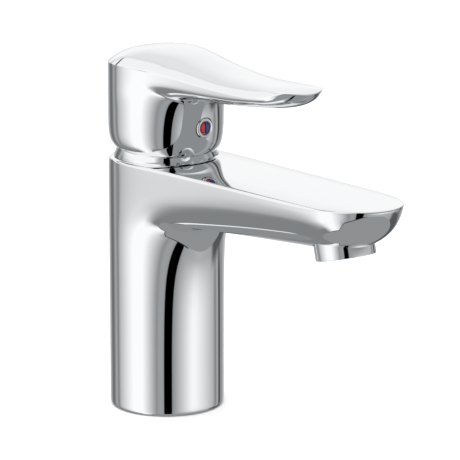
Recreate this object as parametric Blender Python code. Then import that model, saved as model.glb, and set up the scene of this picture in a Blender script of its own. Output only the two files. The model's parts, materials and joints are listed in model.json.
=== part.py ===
"""Single-lever basin mixer faucet, modelled as the separate pieces that it is assembled from.

Metres, +Z up. The origin is the centre of the base on the deck. The spout points along -Y, so a
distance "reach" in front of the axis is -Y, and the object is symmetric about X = 0.
"""

import math

import bmesh
import bpy
from mathutils import Matrix, Vector

MM = 0.001

# Driving dimensions, in millimetres.
BODY_RADIUS = 24.0
BODY_HEIGHT = 106.4
SPOUT_REACH = 133.3
SPOUT_DEPTH = 24.1
SPOUT_CROWN = 1.5
SPOUT_FALL = 1.8
SPOUT_NOSE = 27.3
LEVER_REACH = 88.8
HANDLE_RADIUS = 24.0
HANDLE_RIM_RADIUS = 21.6
HANDLE_HEIGHT = 39.6
HANDLE_GAP = 4.5
LEVER_DEPTH = 11.2
LEVER_CROWN = 6.0
LEVER_TIP_CROWN = 1.4
LEVER_NOSE = 20.0
RIM_LEAN = math.radians(3.5)

# The cartridge and the chamber that it sits in.
CARTRIDGE_RADIUS = 17.4
CARTRIDGE_NECK_RADIUS = 13.0
CARTRIDGE_HEIGHT = 39.5
SHOULDER_HEIGHT = 29.2
HOUSING_ABOVE_PIVOT = 5.4
FOOT_HEIGHT = 5.0
FOOT_LAP = 2.6
DISC_THICKNESS = 3.6
FIXED_DISC_RADIUS = 13.6
MOVING_DISC_RADIUS = 9.4
MIXING_HOLLOW_RADIUS = 6.0
CARRIER_RADIUS = 10.0
CARRIER_HEIGHT = 9.6
ROTOR_RADIUS = 11.2
ROTOR_STEP = 1.2
ROTOR_SHOULDER = 1.6
ROTOR_RING_RISE = 4.0
ROTOR_ABOVE_HOUSING = 1.4
PIN_RADIUS = 1.5
PIN_LENGTH = 20.0
SPINDLE_SIZE = 8.0
SPINDLE_TOP = 24.5
SPINDLE_BELOW_PIVOT = 5.6
SPINDLE_TIP_RADIUS = 2.6
CRANK = 14.0
PORT_RADIUS = 3.4
PORT_SPREAD = 8.0
PORT_REACH = -4.0
OUTLET_RADIUS = 4.0
OUTLET_REACH = 8.0
OUTLET_WAY_RADIUS = 3.2
OUTLET_WAY_BELOW_SHOULDER = 8.0
WINDOW_WIDTH = 12.0

# Fasteners, seals and openings.
FIT = 0.3
RUNNING_GAP = 0.4
LAP = 1.0
NUT_THREAD_RADIUS = 19.6
NUT_FLATS_RADIUS = 17.0
NUT_FLANGE_HEIGHT = 3.2
DOME_RADIUS = 23.0
DOME_WALL = 1.6
DOME_RISE = 11.6
DOME_FOOT = 1.2
RING_SEAT_DEPTH = 0.4
PIVOT_ABOVE_TOP = -6.8
INLET_RADIUS = 5.0
INLET_SPREAD = 9.0
INLET_DEPTH = 14.0
STUD_RADIUS = 4.2
STUD_REACH = -11.5
STUD_DEPTH = 16.0
SKIRT_DEPTH = 24.0
SKIRT_WALL = 4.0
SEAL_SECTION = 2.0
AERATOR_REACH = 107.5
AERATOR_BELOW_SPOUT = -0.2
AERATOR_LEAN = math.radians(13.0)
AERATOR_RADIUS = 12.1
AERATOR_HEIGHT = 13.8
AERATOR_WALL = 1.7
AERATOR_LIP = 1.2
AERATOR_SLOTS = 6
JET_RADIUS = 1.3
WATERWAY_RADIUS = 7.8
WATERWAY_WIDTH = 30.0
WATERWAY_RISE = 10.9
INDEX_ABOVE_RIM = 10.6
INDEX_RADIUS = 4.2
INDEX_DEPTH = 3.2
INDEX_STANDS_OUT = 0.8
INDEX_MARK_RADIUS = 2.5
INDEX_RECESS = 1.0
INDEX_SPLIT = 0.6
GRUB_RADIUS = 2.5
GRUB_LENGTH = 6.0
GRUB_SOCKET_RADIUS = 1.4
GRUB_SOCKET_DEPTH = 2.5
BOSS_SIZE = 15.0
BOSS_RECESS = 2.4
HANDLE_WALL = 3.6
HANDLE_ROOF = 6.0
LEVER_WALL = 3.2
LEVER_HOLLOW_WIDTH = 22.0

# Places that follow from the sizes above.
PIVOT_HEIGHT = BODY_HEIGHT + PIVOT_ABOVE_TOP
HOUSING_TOP = PIVOT_HEIGHT + HOUSING_ABOVE_PIVOT
SEAT_HEIGHT = HOUSING_TOP - CARTRIDGE_HEIGHT - FIT
SHOULDER = SEAT_HEIGHT + SHOULDER_HEIGHT
FOOT_TOP = SEAT_HEIGHT + FIT + FOOT_HEIGHT
FIXED_DISC_TOP = FOOT_TOP + FIT + DISC_THICKNESS
MOVING_DISC_TOP = FIXED_DISC_TOP + FIT + DISC_THICKNESS
CARRIER_TOP = MOVING_DISC_TOP + FIT + CARRIER_HEIGHT
CRANK_HEIGHT = PIVOT_HEIGHT - CRANK
BORE_RADIUS = CARTRIDGE_RADIUS + FIT
HANDLE_BOTTOM = BODY_HEIGHT + HANDLE_GAP
HANDLE_TOP = BODY_HEIGHT + HANDLE_HEIGHT
INDEX_HEIGHT = HANDLE_BOTTOM + INDEX_ABOVE_RIM
CAVITY_TOP = HANDLE_TOP - HANDLE_ROOF
RING_SEAT_HEIGHT = BODY_HEIGHT - RING_SEAT_DEPTH
DOME_FOOT_RISE = RING_SEAT_HEIGHT + FIT + DOME_FOOT - PIVOT_HEIGHT
RING_SEAT_RADIUS = math.sqrt(DOME_RADIUS**2 - DOME_FOOT_RISE**2) + FIT
NUT_TOP = RING_SEAT_HEIGHT + NUT_FLANGE_HEIGHT
O_RING_HEIGHT = SHOULDER - SEAL_SECTION * 1.2
OUTLET_WAY_HEIGHT = SHOULDER - OUTLET_WAY_BELOW_SHOULDER
WATERWAY_HEIGHT = BODY_HEIGHT - SPOUT_DEPTH + WATERWAY_RISE
AERATOR_OUTLET = BODY_HEIGHT - SPOUT_DEPTH - AERATOR_BELOW_SPOUT
ROTOR_TOP = HOUSING_TOP + ROTOR_ABOVE_HOUSING
BOSS_FOOT = HANDLE_BOTTOM + BOSS_RECESS
HALF_SPLIT = INDEX_SPLIT / 2

# The two cast shapes are cages of this many columns, smoothed.
COLUMNS = 16
FRONT = COLUMNS // 2
BAND_ROWS = 3
SECTION_DROP = math.radians(22)
ROUND = 24
# A closed cubic through this many corners lies this much inside them.
CAGE_SHRINK = (4.0 + 2.0 * math.cos(math.tau / COLUMNS)) / 6.0


def clear_scene():
    for old in list(bpy.data.objects):
        bpy.data.objects.remove(old, do_unlink=True)


def material(name, colour, roughness, metallic):
    made = bpy.data.materials.new(name)
    made.use_nodes = True
    shader = made.node_tree.nodes["Principled BSDF"]
    shader.inputs["Base Color"].default_value = (*colour, 1.0)
    shader.inputs["Roughness"].default_value = roughness
    shader.inputs["Metallic"].default_value = metallic
    return made


def finish(name, mesh, look, place=(0.0, 0.0, 0.0), parent=None):
    """Names the mesh as one sub-part, gives it its material, and puts it in its place in millimetres."""
    made = bpy.data.objects.new(name, mesh)
    bpy.context.scene.collection.objects.link(made)
    if look:
        mesh.materials.append(look)
    made.location = Vector(place) * MM
    if parent:
        made.parent = parent
        made.matrix_parent_inverse = Matrix.Translation(-parent.matrix_world.translation)
    return made


def joint_empty(name, place):
    made = bpy.data.objects.new(name, None)
    bpy.context.scene.collection.objects.link(made)
    made.location = Vector(place) * MM
    bpy.context.view_layer.update()
    return made


def turned(name, profile, look, place=(0, 0, 0), steps=ROUND, parent=None, tilt=0.0, smooth=True):
    """A turned piece. The profile is (radius, height) in mm, down the outer side and up the inner one.

    A profile that starts on the axis is open and ends on the axis; any other is closed.
    """
    mesh = bpy.data.meshes.new(name)
    points = [(radius * MM, 0.0, height * MM) for radius, height in profile]
    edges = [(i, i + 1) for i in range(len(points) - 1)]
    if profile[0][0] > 0.0:
        edges.append((len(points) - 1, 0))
    mesh.from_pydata(points, edges, [])
    made = finish(name, mesh, look, place, parent)
    made.rotation_euler = (tilt, 0.0, 0.0)
    screw = made.modifiers.new("Turn", "SCREW")
    screw.steps = steps
    screw.render_steps = steps
    screw.use_smooth_shade = smooth
    screw.use_merge_vertices = True
    screw.merge_threshold = 0.00001
    return made


def disc(radius, low, high):
    """Profile of a plain solid cylinder."""
    return [(0.0, high), (radius, high), (radius, low), (0.0, low)]


def tube(outer, inner, low, high):
    """Profile of a plain ring."""
    return [(outer, high), (outer, low), (inner, low), (inner, high)]


def o_ring(middle, section, height, sides=6):
    """Profile of a ring of round section."""
    turns = [-math.tau * i / sides for i in range(sides)]
    return [(middle + section / 2 * math.cos(a), height + section / 2 * math.sin(a)) for a in turns]


def block(name, low, high, look, parent=None, bevel=0.0):
    """A rectangular solid between two corners in mm, with its edges broken by bevel."""
    mesh = bpy.data.meshes.new(name)
    shape = bmesh.new()
    bmesh.ops.create_cube(shape, size=1.0)
    size = Vector(high) - Vector(low)
    bmesh.ops.scale(shape, vec=size * MM, verts=shape.verts)
    if bevel:
        bmesh.ops.bevel(shape, geom=shape.edges[:], offset=bevel * MM, segments=2, affect="EDGES")
    shape.to_mesh(mesh)
    shape.free()
    middle = (Vector(high) + Vector(low)) / 2
    return finish(name, mesh, look, middle, parent)


def rod(name, start, end, radius, look, sides=ROUND, parent=None):
    """A straight round bar between two points in mm."""
    along = Vector(end) - Vector(start)
    mesh = bpy.data.meshes.new(name)
    shape = bmesh.new()
    bmesh.ops.create_cone(
        shape, cap_ends=True, segments=sides, radius1=radius * MM, radius2=radius * MM, depth=along.length * MM
    )
    turn = along.to_track_quat("Z", "Y").to_matrix()
    bmesh.ops.rotate(shape, matrix=turn, verts=shape.verts)
    shape.to_mesh(mesh)
    shape.free()
    return finish(name, mesh, look, (Vector(start) + Vector(end)) / 2, parent)


def helper(made):
    made.hide_render = True
    made.display_type = "WIRE"
    return made


def boolean(target, tool, operation="DIFFERENCE"):
    """Cuts the tool out of the target, or joins it on."""
    modifier = target.modifiers.new(operation.title(), "BOOLEAN")
    modifier.operation = operation
    modifier.solver = "EXACT"
    modifier.object = helper(tool)
    return target


def mix(low, high, share):
    return low + (high - low) * share


def squared(share, squareness):
    """A sine or cosine pushed out: 2 leaves an ellipse round, and more gives it steeper sides."""
    return max(share, 0.0) ** (2.0 / squareness)


class CupWithArm:
    """A round cup whose upper front runs out into a long arm under one crisp top edge.

    The cup is a ring of columns. The faces of its front half, between the band's foot and the top
    edge, are carried out along the arm, one loop of faces at each station, and close in its nose.
    """

    def __init__(self, radius, rows, stations, fullness, edge, crown, keel):
        """Rows are (height, radius, lean, bulge), and stations (start, half width, bows, squareness)."""
        self.radius = radius / CAGE_SHRINK
        self.rows = rows
        self.stations = stations
        self.fullness = fullness
        self.edge = edge
        self.crown = crown
        self.keel = keel
        self.shape = bmesh.new()
        self.crisp = []

    def vertex(self, x, reach, height):
        return self.shape.verts.new((x * MM, -reach * MM, height * MM))

    def angle(self, column):
        return math.tau * column / COLUMNS - math.pi / 2

    def top_height(self, x, reach, half_width):
        """Height of the crowned top: a bowl-shaped crown behind the axis, a barrel along the arm."""
        if reach <= 0.0:
            away = (x * x + reach * reach) / self.radius**2
        else:
            away = (x / half_width) ** 2
        return self.edge(reach) + self.crown(max(reach, 0.0)) * (1.0 - min(away, 1.0) ** self.fullness)

    def ring(self, height, radius, lean, bulge, columns):
        """One row of the cup, whose plane leans down towards the front and whose front stands out."""
        made = {}
        for column in columns:
            turn = self.angle(column)
            x = radius / CAGE_SHRINK * math.sin(turn)
            reach = radius / CAGE_SHRINK * math.cos(turn) + bulge * max(math.cos(turn), 0.0) ** 4
            made[column] = self.vertex(x, reach, height - reach * math.tan(lean))
        return made

    def build_cup(self):
        every = range(COLUMNS)
        sides = [0, *range(FRONT, COLUMNS)]
        self.cup = [self.ring(*row, every) for row in self.rows]
        for step in range(1, BAND_ROWS + 1):
            height_low = self.rows[-1][0]
            row = {}
            for column in sides:
                turn = self.angle(column)
                reach = self.radius * math.cos(turn)
                top = self.edge(min(reach, 0.0))
                height = mix(height_low, top, step / BAND_ROWS)
                row[column] = self.vertex(self.radius * math.sin(turn), reach, height)
            self.cup.append(row)
        low_rows = len(self.rows)
        for number in range(len(self.cup) - 1):
            low, high = self.cup[number], self.cup[number + 1]
            for column in every:
                after = (column + 1) % COLUMNS
                if number >= low_rows - 1 and column < FRONT:
                    continue
                self.shape.faces.new((low[column], low[after], high[after], high[column]))

    def section(self, station):
        """The loop of one station: down the left side, across the keel, up the right, back over the top."""
        start, half_width, bow_top, bow_low, squareness = station
        drop = SECTION_DROP
        flat = half_width * squared(math.cos(drop), squareness)
        last = station == self.stations[-1]
        left, right = [], []
        lowest = self.edge(start) - self.keel(start + bow_low)
        for row in range(BAND_ROWS + 1):
            turn = drop * row / BAND_ROWS
            x = half_width * squared(math.cos(turn), squareness)
            height = self.edge(start) - lowest * squared(math.sin(turn), squareness)
            left.append(self.vertex(-x, start, height))
            right.append(self.vertex(x, start, height))
        low, top = [], []
        for column in range(1, FRONT):
            turn = mix(drop - math.pi / 2, math.pi / 2 - drop, column / FRONT)
            x = half_width * math.copysign(squared(abs(math.sin(turn)), squareness), turn)
            reach = start + bow_low * (1.0 - (x / flat) ** 2)
            depth = self.edge(start) - self.keel(reach)
            low.append(self.vertex(x, reach, self.edge(start) - depth * squared(math.cos(turn), squareness)))
            top.append(self.top_point(half_width, start, bow_top, self.angle(column), last))
        return [*left, *low, *reversed(right), *reversed(top)]

    def top_point(self, half_width, start, bow, turn, last=False):
        x = half_width * math.sin(turn)
        reach = start + bow * math.cos(turn)
        local = half_width if last else self.width_at(reach)
        return self.vertex(x, reach, self.top_height(x, reach, local))

    def width_at(self, reach):
        before = (0.0, self.radius)
        for start, half_width, *_ in self.stations:
            if reach <= start:
                share = (reach - before[0]) / (start - before[0])
                return mix(before[1], half_width, share)
            before = (start, half_width)
        return before[1]

    def build_arm(self):
        """The arm's loops of faces, one for each station."""
        rows = BAND_ROWS
        top_row = len(self.cup) - 1
        left = [self.cup[top_row - row][0] for row in range(rows + 1)]
        right = [self.cup[top_row - row][FRONT] for row in range(rows + 1)]
        low = [self.cup[top_row - rows][column] for column in range(1, FRONT)]
        self.inner_rim = [
            self.top_point(self.radius, 0.0, self.radius, self.angle(column)) for column in range(1, FRONT)
        ]
        loops = [[*left, *low, *reversed(right), *reversed(self.inner_rim)]]
        loops += [self.section(station) for station in self.stations]
        nose = loops[-1]
        for one, two in zip(loops, loops[1:]):
            for i in range(len(one)):
                after = (i + 1) % len(one)
                self.shape.faces.new((one[i], one[after], two[after], two[i]))
        for one, two in zip(loops, loops[1:]):
            self.crisp.append((one[0], two[0]))
            self.crisp.append((one[2 * rows + FRONT], two[2 * rows + FRONT]))
        self.close_nose(nose, rows)

    def close_nose(self, loop, rows):
        """A grid of faces over the end of the arm: its top row is the crisp edge."""
        edge_row = [loop[0], *reversed(loop[2 * rows + FRONT + 1 :]), loop[2 * rows + FRONT]]
        low_row = loop[rows : rows + FRONT + 1]
        grid = [edge_row]
        squareness = self.stations[-1][-1]
        for row in range(1, rows):
            turn = math.pi / 2 * row / rows
            line = [loop[row]]
            for column in range(1, FRONT):
                top, low = edge_row[column].co, low_row[column].co
                side = mix(low.x, top.x, math.cos(turn) ** 1.2)
                along = mix(low.y, top.y, squared(math.cos(turn), squareness))
                height = mix(top.z, low.z, squared(math.sin(turn), squareness))
                line.append(self.shape.verts.new((side, along, height)))
            line.append(loop[2 * rows + FRONT - row])
            grid.append(line)
        grid.append(low_row)
        for upper, lower in zip(grid, grid[1:]):
            for i in range(FRONT):
                self.shape.faces.new((upper[i], upper[i + 1], lower[i + 1], lower[i]))
        self.crisp += list(zip(edge_row, edge_row[1:]))

    def close_top(self):
        """Two rings and a square of sixteen faces, so that no fan of faces meets in one point."""
        top = self.cup[-1]
        rim = [top[0], *self.inner_rim, *[top[column] for column in range(FRONT, COLUMNS)]]
        for column in range(FRONT, COLUMNS):
            self.crisp.append((rim[column], rim[(column + 1) % COLUMNS]))
        outer = rim
        for share in (0.84, 0.6):
            inner = [self.top_on_disc(share, self.angle(column)) for column in range(COLUMNS)]
            for i in range(COLUMNS):
                after = (i + 1) % COLUMNS
                self.shape.faces.new((outer[i], outer[after], inner[after], inner[i]))
            outer = inner
        self.fill_square(outer)

    def top_on_disc(self, share, turn):
        x = self.radius * share * math.sin(turn)
        reach = self.radius * share * math.cos(turn)
        return self.vertex(x, reach, self.top_height(x, reach, self.width_at(reach)))

    def fill_square(self, ring):
        """Sixteen faces inside a ring of sixteen corners, a quarter turn of the ring to each side."""
        side = COLUMNS // 4
        first = COLUMNS // 8
        corner = [ring[(first + i) % COLUMNS] for i in range(COLUMNS)]
        grid = {}
        for i in range(side):
            grid[(i, 0)] = corner[i]
            grid[(side, i)] = corner[side + i]
            grid[(side - i, side)] = corner[2 * side + i]
            grid[(0, side - i)] = corner[3 * side + i]
        for i in range(1, side):
            for j in range(1, side):
                across = grid[(0, j)].co.lerp(grid[(side, j)].co, i / side)
                along = grid[(i, 0)].co.lerp(grid[(i, side)].co, j / side)
                middle = (across + along) / 2
                x, reach = middle.x / MM, -middle.y / MM
                grid[(i, j)] = self.vertex(x, reach, self.top_height(x, reach, self.width_at(reach)))
        for i in range(side):
            for j in range(side):
                self.shape.faces.new((grid[(i, j)], grid[(i + 1, j)], grid[(i + 1, j + 1)], grid[(i, j + 1)]))

    def close_foot(self):
        foot = [self.cup[0][column] for column in range(COLUMNS)]
        self.shape.faces.new(foot)
        for i in range(COLUMNS):
            self.crisp.append((foot[i], foot[(i + 1) % COLUMNS]))

    def mesh(self, name):
        self.build_cup()
        self.build_arm()
        self.close_top()
        self.close_foot()
        crease = self.shape.edges.layers.float.new("crease_edge")
        for one, two in self.crisp:
            self.shape.edges.get((one, two))[crease] = 1.0
        bmesh.ops.recalc_face_normals(self.shape, faces=self.shape.faces)
        mesh = bpy.data.meshes.new(name)
        for face in self.shape.faces:
            face.smooth = True
        self.shape.to_mesh(mesh)
        self.shape.free()
        return mesh


def smoothed(made, levels=1):
    modifier = made.modifiers.new("Smooth", "SUBSURF")
    modifier.levels = levels
    modifier.render_levels = levels
    return made


def spout_edge(reach):
    """Height of the crisp edge along the body and spout."""
    if reach < 0.0:
        return BODY_HEIGHT
    return BODY_HEIGHT - SPOUT_FALL * (reach / SPOUT_REACH) ** 1.6


def spout_crown(reach):
    """Rise of the top's middle over its edges, flatter towards the nose."""
    return mix(1.0, SPOUT_CROWN, min(reach / BODY_RADIUS, 1.0)) * (1.0 - 0.35 * reach / SPOUT_REACH)


def spout_keel(reach):
    """Height of the lowest line under the spout."""
    rise = max(reach - 2 * BODY_RADIUS, 0.0) / SPOUT_REACH
    return BODY_HEIGHT - SPOUT_DEPTH + 9.0 * rise**1.5


def lever_edge(reach):
    """Height of the crisp edge round the handle and along the lever."""
    along = max(reach, 0.0) / LEVER_REACH
    return HANDLE_TOP + 0.8 - 4.6 * along + 2.6 * along**4 + min(reach, 0.0) / HANDLE_RADIUS * 0.8


def lever_crown(reach):
    """Rise of the handle's top, which dies away along the lever."""
    along = min(reach / (0.62 * LEVER_REACH), 1.0)
    return mix(LEVER_CROWN, LEVER_TIP_CROWN, along * along * (3.0 - 2.0 * along))


def lever_keel(reach):
    """Height of the lowest line under the lever, which turns up towards the tip."""
    along = max(reach - HANDLE_RADIUS, 0.0) / LEVER_REACH
    return HANDLE_TOP - LEVER_DEPTH + 10.0 * along**2.6


def body_form():
    """The outside of the column and spout."""
    band_foot = spout_keel(BODY_RADIUS) - 3.0
    bulges = ((0.0, 0.0), (0.04, 0.0), (0.35, 0.0), (0.68, 0.4), (0.86, 2.4), (1.0, 6.5))
    rows = [(share * band_foot, BODY_RADIUS, 0.0, bulge) for share, bulge in bulges]
    first = 34.0
    nose = SPOUT_REACH - SPOUT_NOSE
    stations = [
        (14.0, BODY_RADIUS + 0.2, 17.0, 26.0, 4.6),
        (first, BODY_RADIUS - 0.7, 11.0, 18.0, 3.2),
        (mix(first, nose, 0.34), BODY_RADIUS - 1.4, 6.0, 8.0, 2.4),
        (mix(first, nose, 0.70), BODY_RADIUS - 2.0, 8.0, 2.0, 2.1),
        (nose, BODY_RADIUS - 2.8, SPOUT_NOSE, 0.0, 2.0),
    ]
    return CupWithArm(BODY_RADIUS, rows, stations, 2.0, spout_edge, spout_crown, spout_keel)


def build_body(look):
    """The brass casting: column and spout, with the cartridge chamber, waterway, inlets and hollow base."""
    body = smoothed(finish("body", body_form().mesh("body"), look))
    boolean(body, chamber_cutter())
    boolean(body, turned("skirt_cutter", skirt_hollow(), None))
    boolean(body, waterway_cutter())
    boolean(body, rod("chamber_outlet", chamber_mouth(), waterway_start(), OUTLET_WAY_RADIUS, None, 16))
    boolean(body, aerator_cutter())
    for side in (-1.0, 1.0):
        foot = (side * INLET_SPREAD, 0.0, SKIRT_DEPTH - LAP)
        middle = (side * INLET_SPREAD, 0.0, SKIRT_DEPTH + INLET_DEPTH)
        head = (side * PORT_SPREAD, -PORT_REACH, SEAT_HEIGHT + LAP)
        boolean(body, rod("inlet_thread", foot, middle, INLET_RADIUS, None, 20))
        boolean(body, rod("inlet_way", middle_below(middle), head, PORT_RADIUS, None, 16))
    low = (0.0, -STUD_REACH, SKIRT_DEPTH - LAP)
    high = (0.0, -STUD_REACH, SKIRT_DEPTH + STUD_DEPTH)
    boolean(body, rod("stud_thread", low, high, STUD_RADIUS, None, 20))
    return body


def middle_below(middle):
    """The inlet way starts inside its thread, so that the two holes join."""
    return (middle[0], middle[1], middle[2] - LAP)


def chamber_cutter():
    """Bore for the cartridge and nut, and the flat seat of the dome ring, open at the top."""
    over = BODY_HEIGHT + 10.0
    nut_foot = SHOULDER + FIT
    profile = [
        (0.0, over),
        (RING_SEAT_RADIUS, over),
        (RING_SEAT_RADIUS, RING_SEAT_HEIGHT),
        (NUT_THREAD_RADIUS + FIT, RING_SEAT_HEIGHT),
        (NUT_THREAD_RADIUS + FIT, nut_foot - FIT),
        (BORE_RADIUS, nut_foot - FIT),
        (BORE_RADIUS, SEAT_HEIGHT),
        (0.0, SEAT_HEIGHT),
    ]
    return turned("chamber_cutter", profile, None, steps=32)


def skirt_hollow():
    """The hollow base, open below, with a rebate at its mouth for the base seal."""
    hollow = BODY_RADIUS - SKIRT_WALL
    rebate = hollow + SEAL_SECTION
    return [
        (0.0, SKIRT_DEPTH),
        (hollow, SKIRT_DEPTH),
        (hollow, SEAL_SECTION),
        (rebate, SEAL_SECTION),
        (rebate, -LAP),
        (0.0, -LAP),
    ]


def chamber_mouth():
    return (0.0, -(BORE_RADIUS - 3.0), OUTLET_WAY_HEIGHT)


def waterway_start():
    return (0.0, -(BODY_RADIUS + 8.0), WATERWAY_HEIGHT)


def waterway_cutter():
    """The hollow of the spout: a flattened bore that ends over the aerator."""
    end = AERATOR_REACH - AERATOR_RADIUS * 0.3
    start = BODY_RADIUS + 4.0
    low = WATERWAY_HEIGHT - WATERWAY_RADIUS
    high = WATERWAY_HEIGHT + WATERWAY_RADIUS
    half = WATERWAY_WIDTH / 2
    return block("waterway_cutter", (-half, -end, low), (half, -start, high), None, bevel=WATERWAY_RADIUS * 0.8)


def aerator_frame():
    """An empty at the aerator's outlet, leaning forward with its axis."""
    frame = joint_empty("aerator_axis", (0.0, -AERATOR_REACH, AERATOR_OUTLET))
    frame.rotation_euler = (-AERATOR_LEAN, 0.0, 0.0)
    bpy.context.view_layer.update()
    return frame


def leaning(made, frame):
    """Puts a piece that was turned about the origin on the aerator's axis."""
    made.parent = frame
    made.matrix_parent_inverse = Matrix.Identity(4)
    return made


def aerator_cutter():
    frame = aerator_frame()
    profile = disc(AERATOR_RADIUS + FIT, -10.0, AERATOR_HEIGHT + FIT)
    return leaning(turned("aerator_cutter", profile, None), frame)


def build_base_seal(look):
    outer = BODY_RADIUS - SKIRT_WALL + SEAL_SECTION - FIT
    return turned("base_seal", tube(outer, outer - SEAL_SECTION, 0.0, SEAL_SECTION - FIT), look)


def build_dome_ring(look):
    """A thin zone of a sphere about the lever's pivot, so that the handle's rim glides round it."""
    foot = RING_SEAT_HEIGHT + FIT - PIVOT_HEIGHT
    head = DOME_RISE
    steps = 3
    heights = [mix(head, foot + DOME_FOOT, i / steps) for i in range(steps + 1)]
    outer = [(math.sqrt(DOME_RADIUS**2 - h * h), h) for h in heights]
    last = outer[-1][0]
    inside = DOME_RADIUS - DOME_WALL
    inner = [(math.sqrt(inside**2 - h * h), h) for h in reversed(heights)]
    lip = (NUT_THREAD_RADIUS - 0.8, foot)
    profile = [*outer, (last, foot), lip, *inner[:-1], (inner[-1][0] - 0.6, head)]
    return turned("dome_ring", profile, look, (0, 0, PIVOT_HEIGHT), steps=32)


def build_glide_ring(look):
    low = RING_SEAT_HEIGHT + 2 * FIT + 1.0
    inner = NUT_FLATS_RADIUS + FIT + 0.2
    return turned("glide_ring", tube(inner + 1.0, inner, low, low + 1.2), look)


def build_nut(look):
    """Threaded ring nut with a hexagon head, which presses on the shoulder of the cartridge."""
    low = SHOULDER + FIT
    thread = NUT_THREAD_RADIUS
    hole = CARTRIDGE_NECK_RADIUS + FIT
    nut = turned("cartridge_nut", disc(thread, low, RING_SEAT_HEIGHT - FIT), look)
    head_low = RING_SEAT_HEIGHT - 2 * FIT
    head = turned("nut_head", disc(NUT_FLATS_RADIUS, head_low, NUT_TOP), None, steps=6, smooth=False)
    boolean(nut, head, "UNION")
    boolean(nut, turned("nut_hole", disc(hole, low - LAP, NUT_TOP + LAP), None))
    return nut


def build_cartridge_housing(look):
    """The plastic shell: a wide lower part over the discs and a neck that the rotor turns in."""
    low = SEAT_HEIGHT + FIT + FOOT_LAP
    bore = ROTOR_RADIUS + FIT
    wide = FIXED_DISC_RADIUS + FIT
    roof = CARRIER_TOP + FIT
    groove = SEAL_SECTION / 2 + FIT
    profile = [
        (CARTRIDGE_NECK_RADIUS, HOUSING_TOP),
        (CARTRIDGE_NECK_RADIUS, SHOULDER),
        (CARTRIDGE_RADIUS, SHOULDER),
        (CARTRIDGE_RADIUS, O_RING_HEIGHT + groove),
        (CARTRIDGE_RADIUS - SEAL_SECTION, O_RING_HEIGHT + groove),
        (CARTRIDGE_RADIUS - SEAL_SECTION, O_RING_HEIGHT - groove),
        (CARTRIDGE_RADIUS, O_RING_HEIGHT - groove),
        (CARTRIDGE_RADIUS, low),
        (wide, low),
        (wide, roof),
        (bore, roof),
        (bore, HOUSING_TOP),
    ]
    housing = turned("cartridge_housing", profile, look)
    window = block(
        "outlet_window",
        (-WINDOW_WIDTH / 2, -CARTRIDGE_RADIUS - LAP, OUTLET_WAY_HEIGHT - OUTLET_WAY_RADIUS),
        (WINDOW_WIDTH / 2, -CARRIER_RADIUS - 2.0, roof - 0.8),
        None,
    )
    boolean(housing, window)
    return housing


def build_cartridge_foot(look):
    """Ported disc under the ceramic discs, with a pocket under each port for its seal."""
    low = SEAT_HEIGHT + FIT
    step = FIXED_DISC_RADIUS - FIT
    profile = [
        (0.0, FOOT_TOP),
        (step, FOOT_TOP),
        (step, low + FOOT_LAP - FIT),
        (CARTRIDGE_RADIUS, low + FOOT_LAP - FIT),
        (CARTRIDGE_RADIUS, low),
        (0.0, low),
    ]
    foot = turned("cartridge_foot", profile, look)
    for name, place, radius in ports():
        x, y = place
        boolean(foot, rod(name + "_port", (x, y, low - LAP), (x, y, FOOT_TOP + LAP), radius, None, 20))
        pocket = radius + SEAL_SECTION + FIT
        boolean(foot, rod(name + "_pocket", (x, y, low - LAP), (x, y, low + SEAL_SECTION), pocket, None, 24))
    return foot


def ports():
    """The two inlets and the outlet: name, place in X and Y, radius."""
    return [
        ("hot_inlet", (-PORT_SPREAD, -PORT_REACH), PORT_RADIUS),
        ("cold_inlet", (PORT_SPREAD, -PORT_REACH), PORT_RADIUS),
        ("outlet", (0.0, -OUTLET_REACH), OUTLET_RADIUS),
    ]


def build_port_seals(look):
    made = []
    for name, (x, y), radius in ports():
        profile = o_ring(radius + SEAL_SECTION / 2 + FIT / 2, SEAL_SECTION - FIT, SEAL_SECTION / 2)
        made.append(turned(name + "_seal", profile, look, (x, y, SEAT_HEIGHT + FIT / 2), steps=24))
    return made


def build_fixed_disc(look):
    low = FOOT_TOP + FIT
    fixed = turned("fixed_disc", disc(FIXED_DISC_RADIUS - FIT, low, FIXED_DISC_TOP), look)
    for name, (x, y), radius in ports():
        boolean(fixed, rod(name + "_slot", (x, y, low - LAP), (x, y, FIXED_DISC_TOP + LAP), radius, None, 20))
    return fixed


def build_moving_disc(look, parent):
    """The upper disc, with a hollow underneath that joins the ports that it uncovers."""
    low = FIXED_DISC_TOP + FIT
    moving = turned("moving_disc", disc(MOVING_DISC_RADIUS, low, MOVING_DISC_TOP), look, parent=parent)
    roof = low + DISC_THICKNESS * 0.6
    boolean(moving, rod("mixing_hollow", (0, 0, low - LAP), (0, 0, roof), MIXING_HOLLOW_RADIUS, None, 24, parent))
    return moving


def build_disc_carrier(look, parent):
    """The slider: it holds the moving disc from above and has a pocket for the spindle's tip."""
    low = MOVING_DISC_TOP + FIT
    carrier = turned("disc_carrier", disc(CARRIER_RADIUS, low, CARRIER_TOP), look, parent=parent)
    pocket = SPINDLE_TIP_RADIUS + FIT
    floor = CRANK_HEIGHT - SPINDLE_TIP_RADIUS - 1.2
    boolean(carrier, rod("tip_pocket", (0, 0, floor), (0, 0, CARRIER_TOP + LAP), pocket, None, 20, parent))
    return carrier


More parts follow.
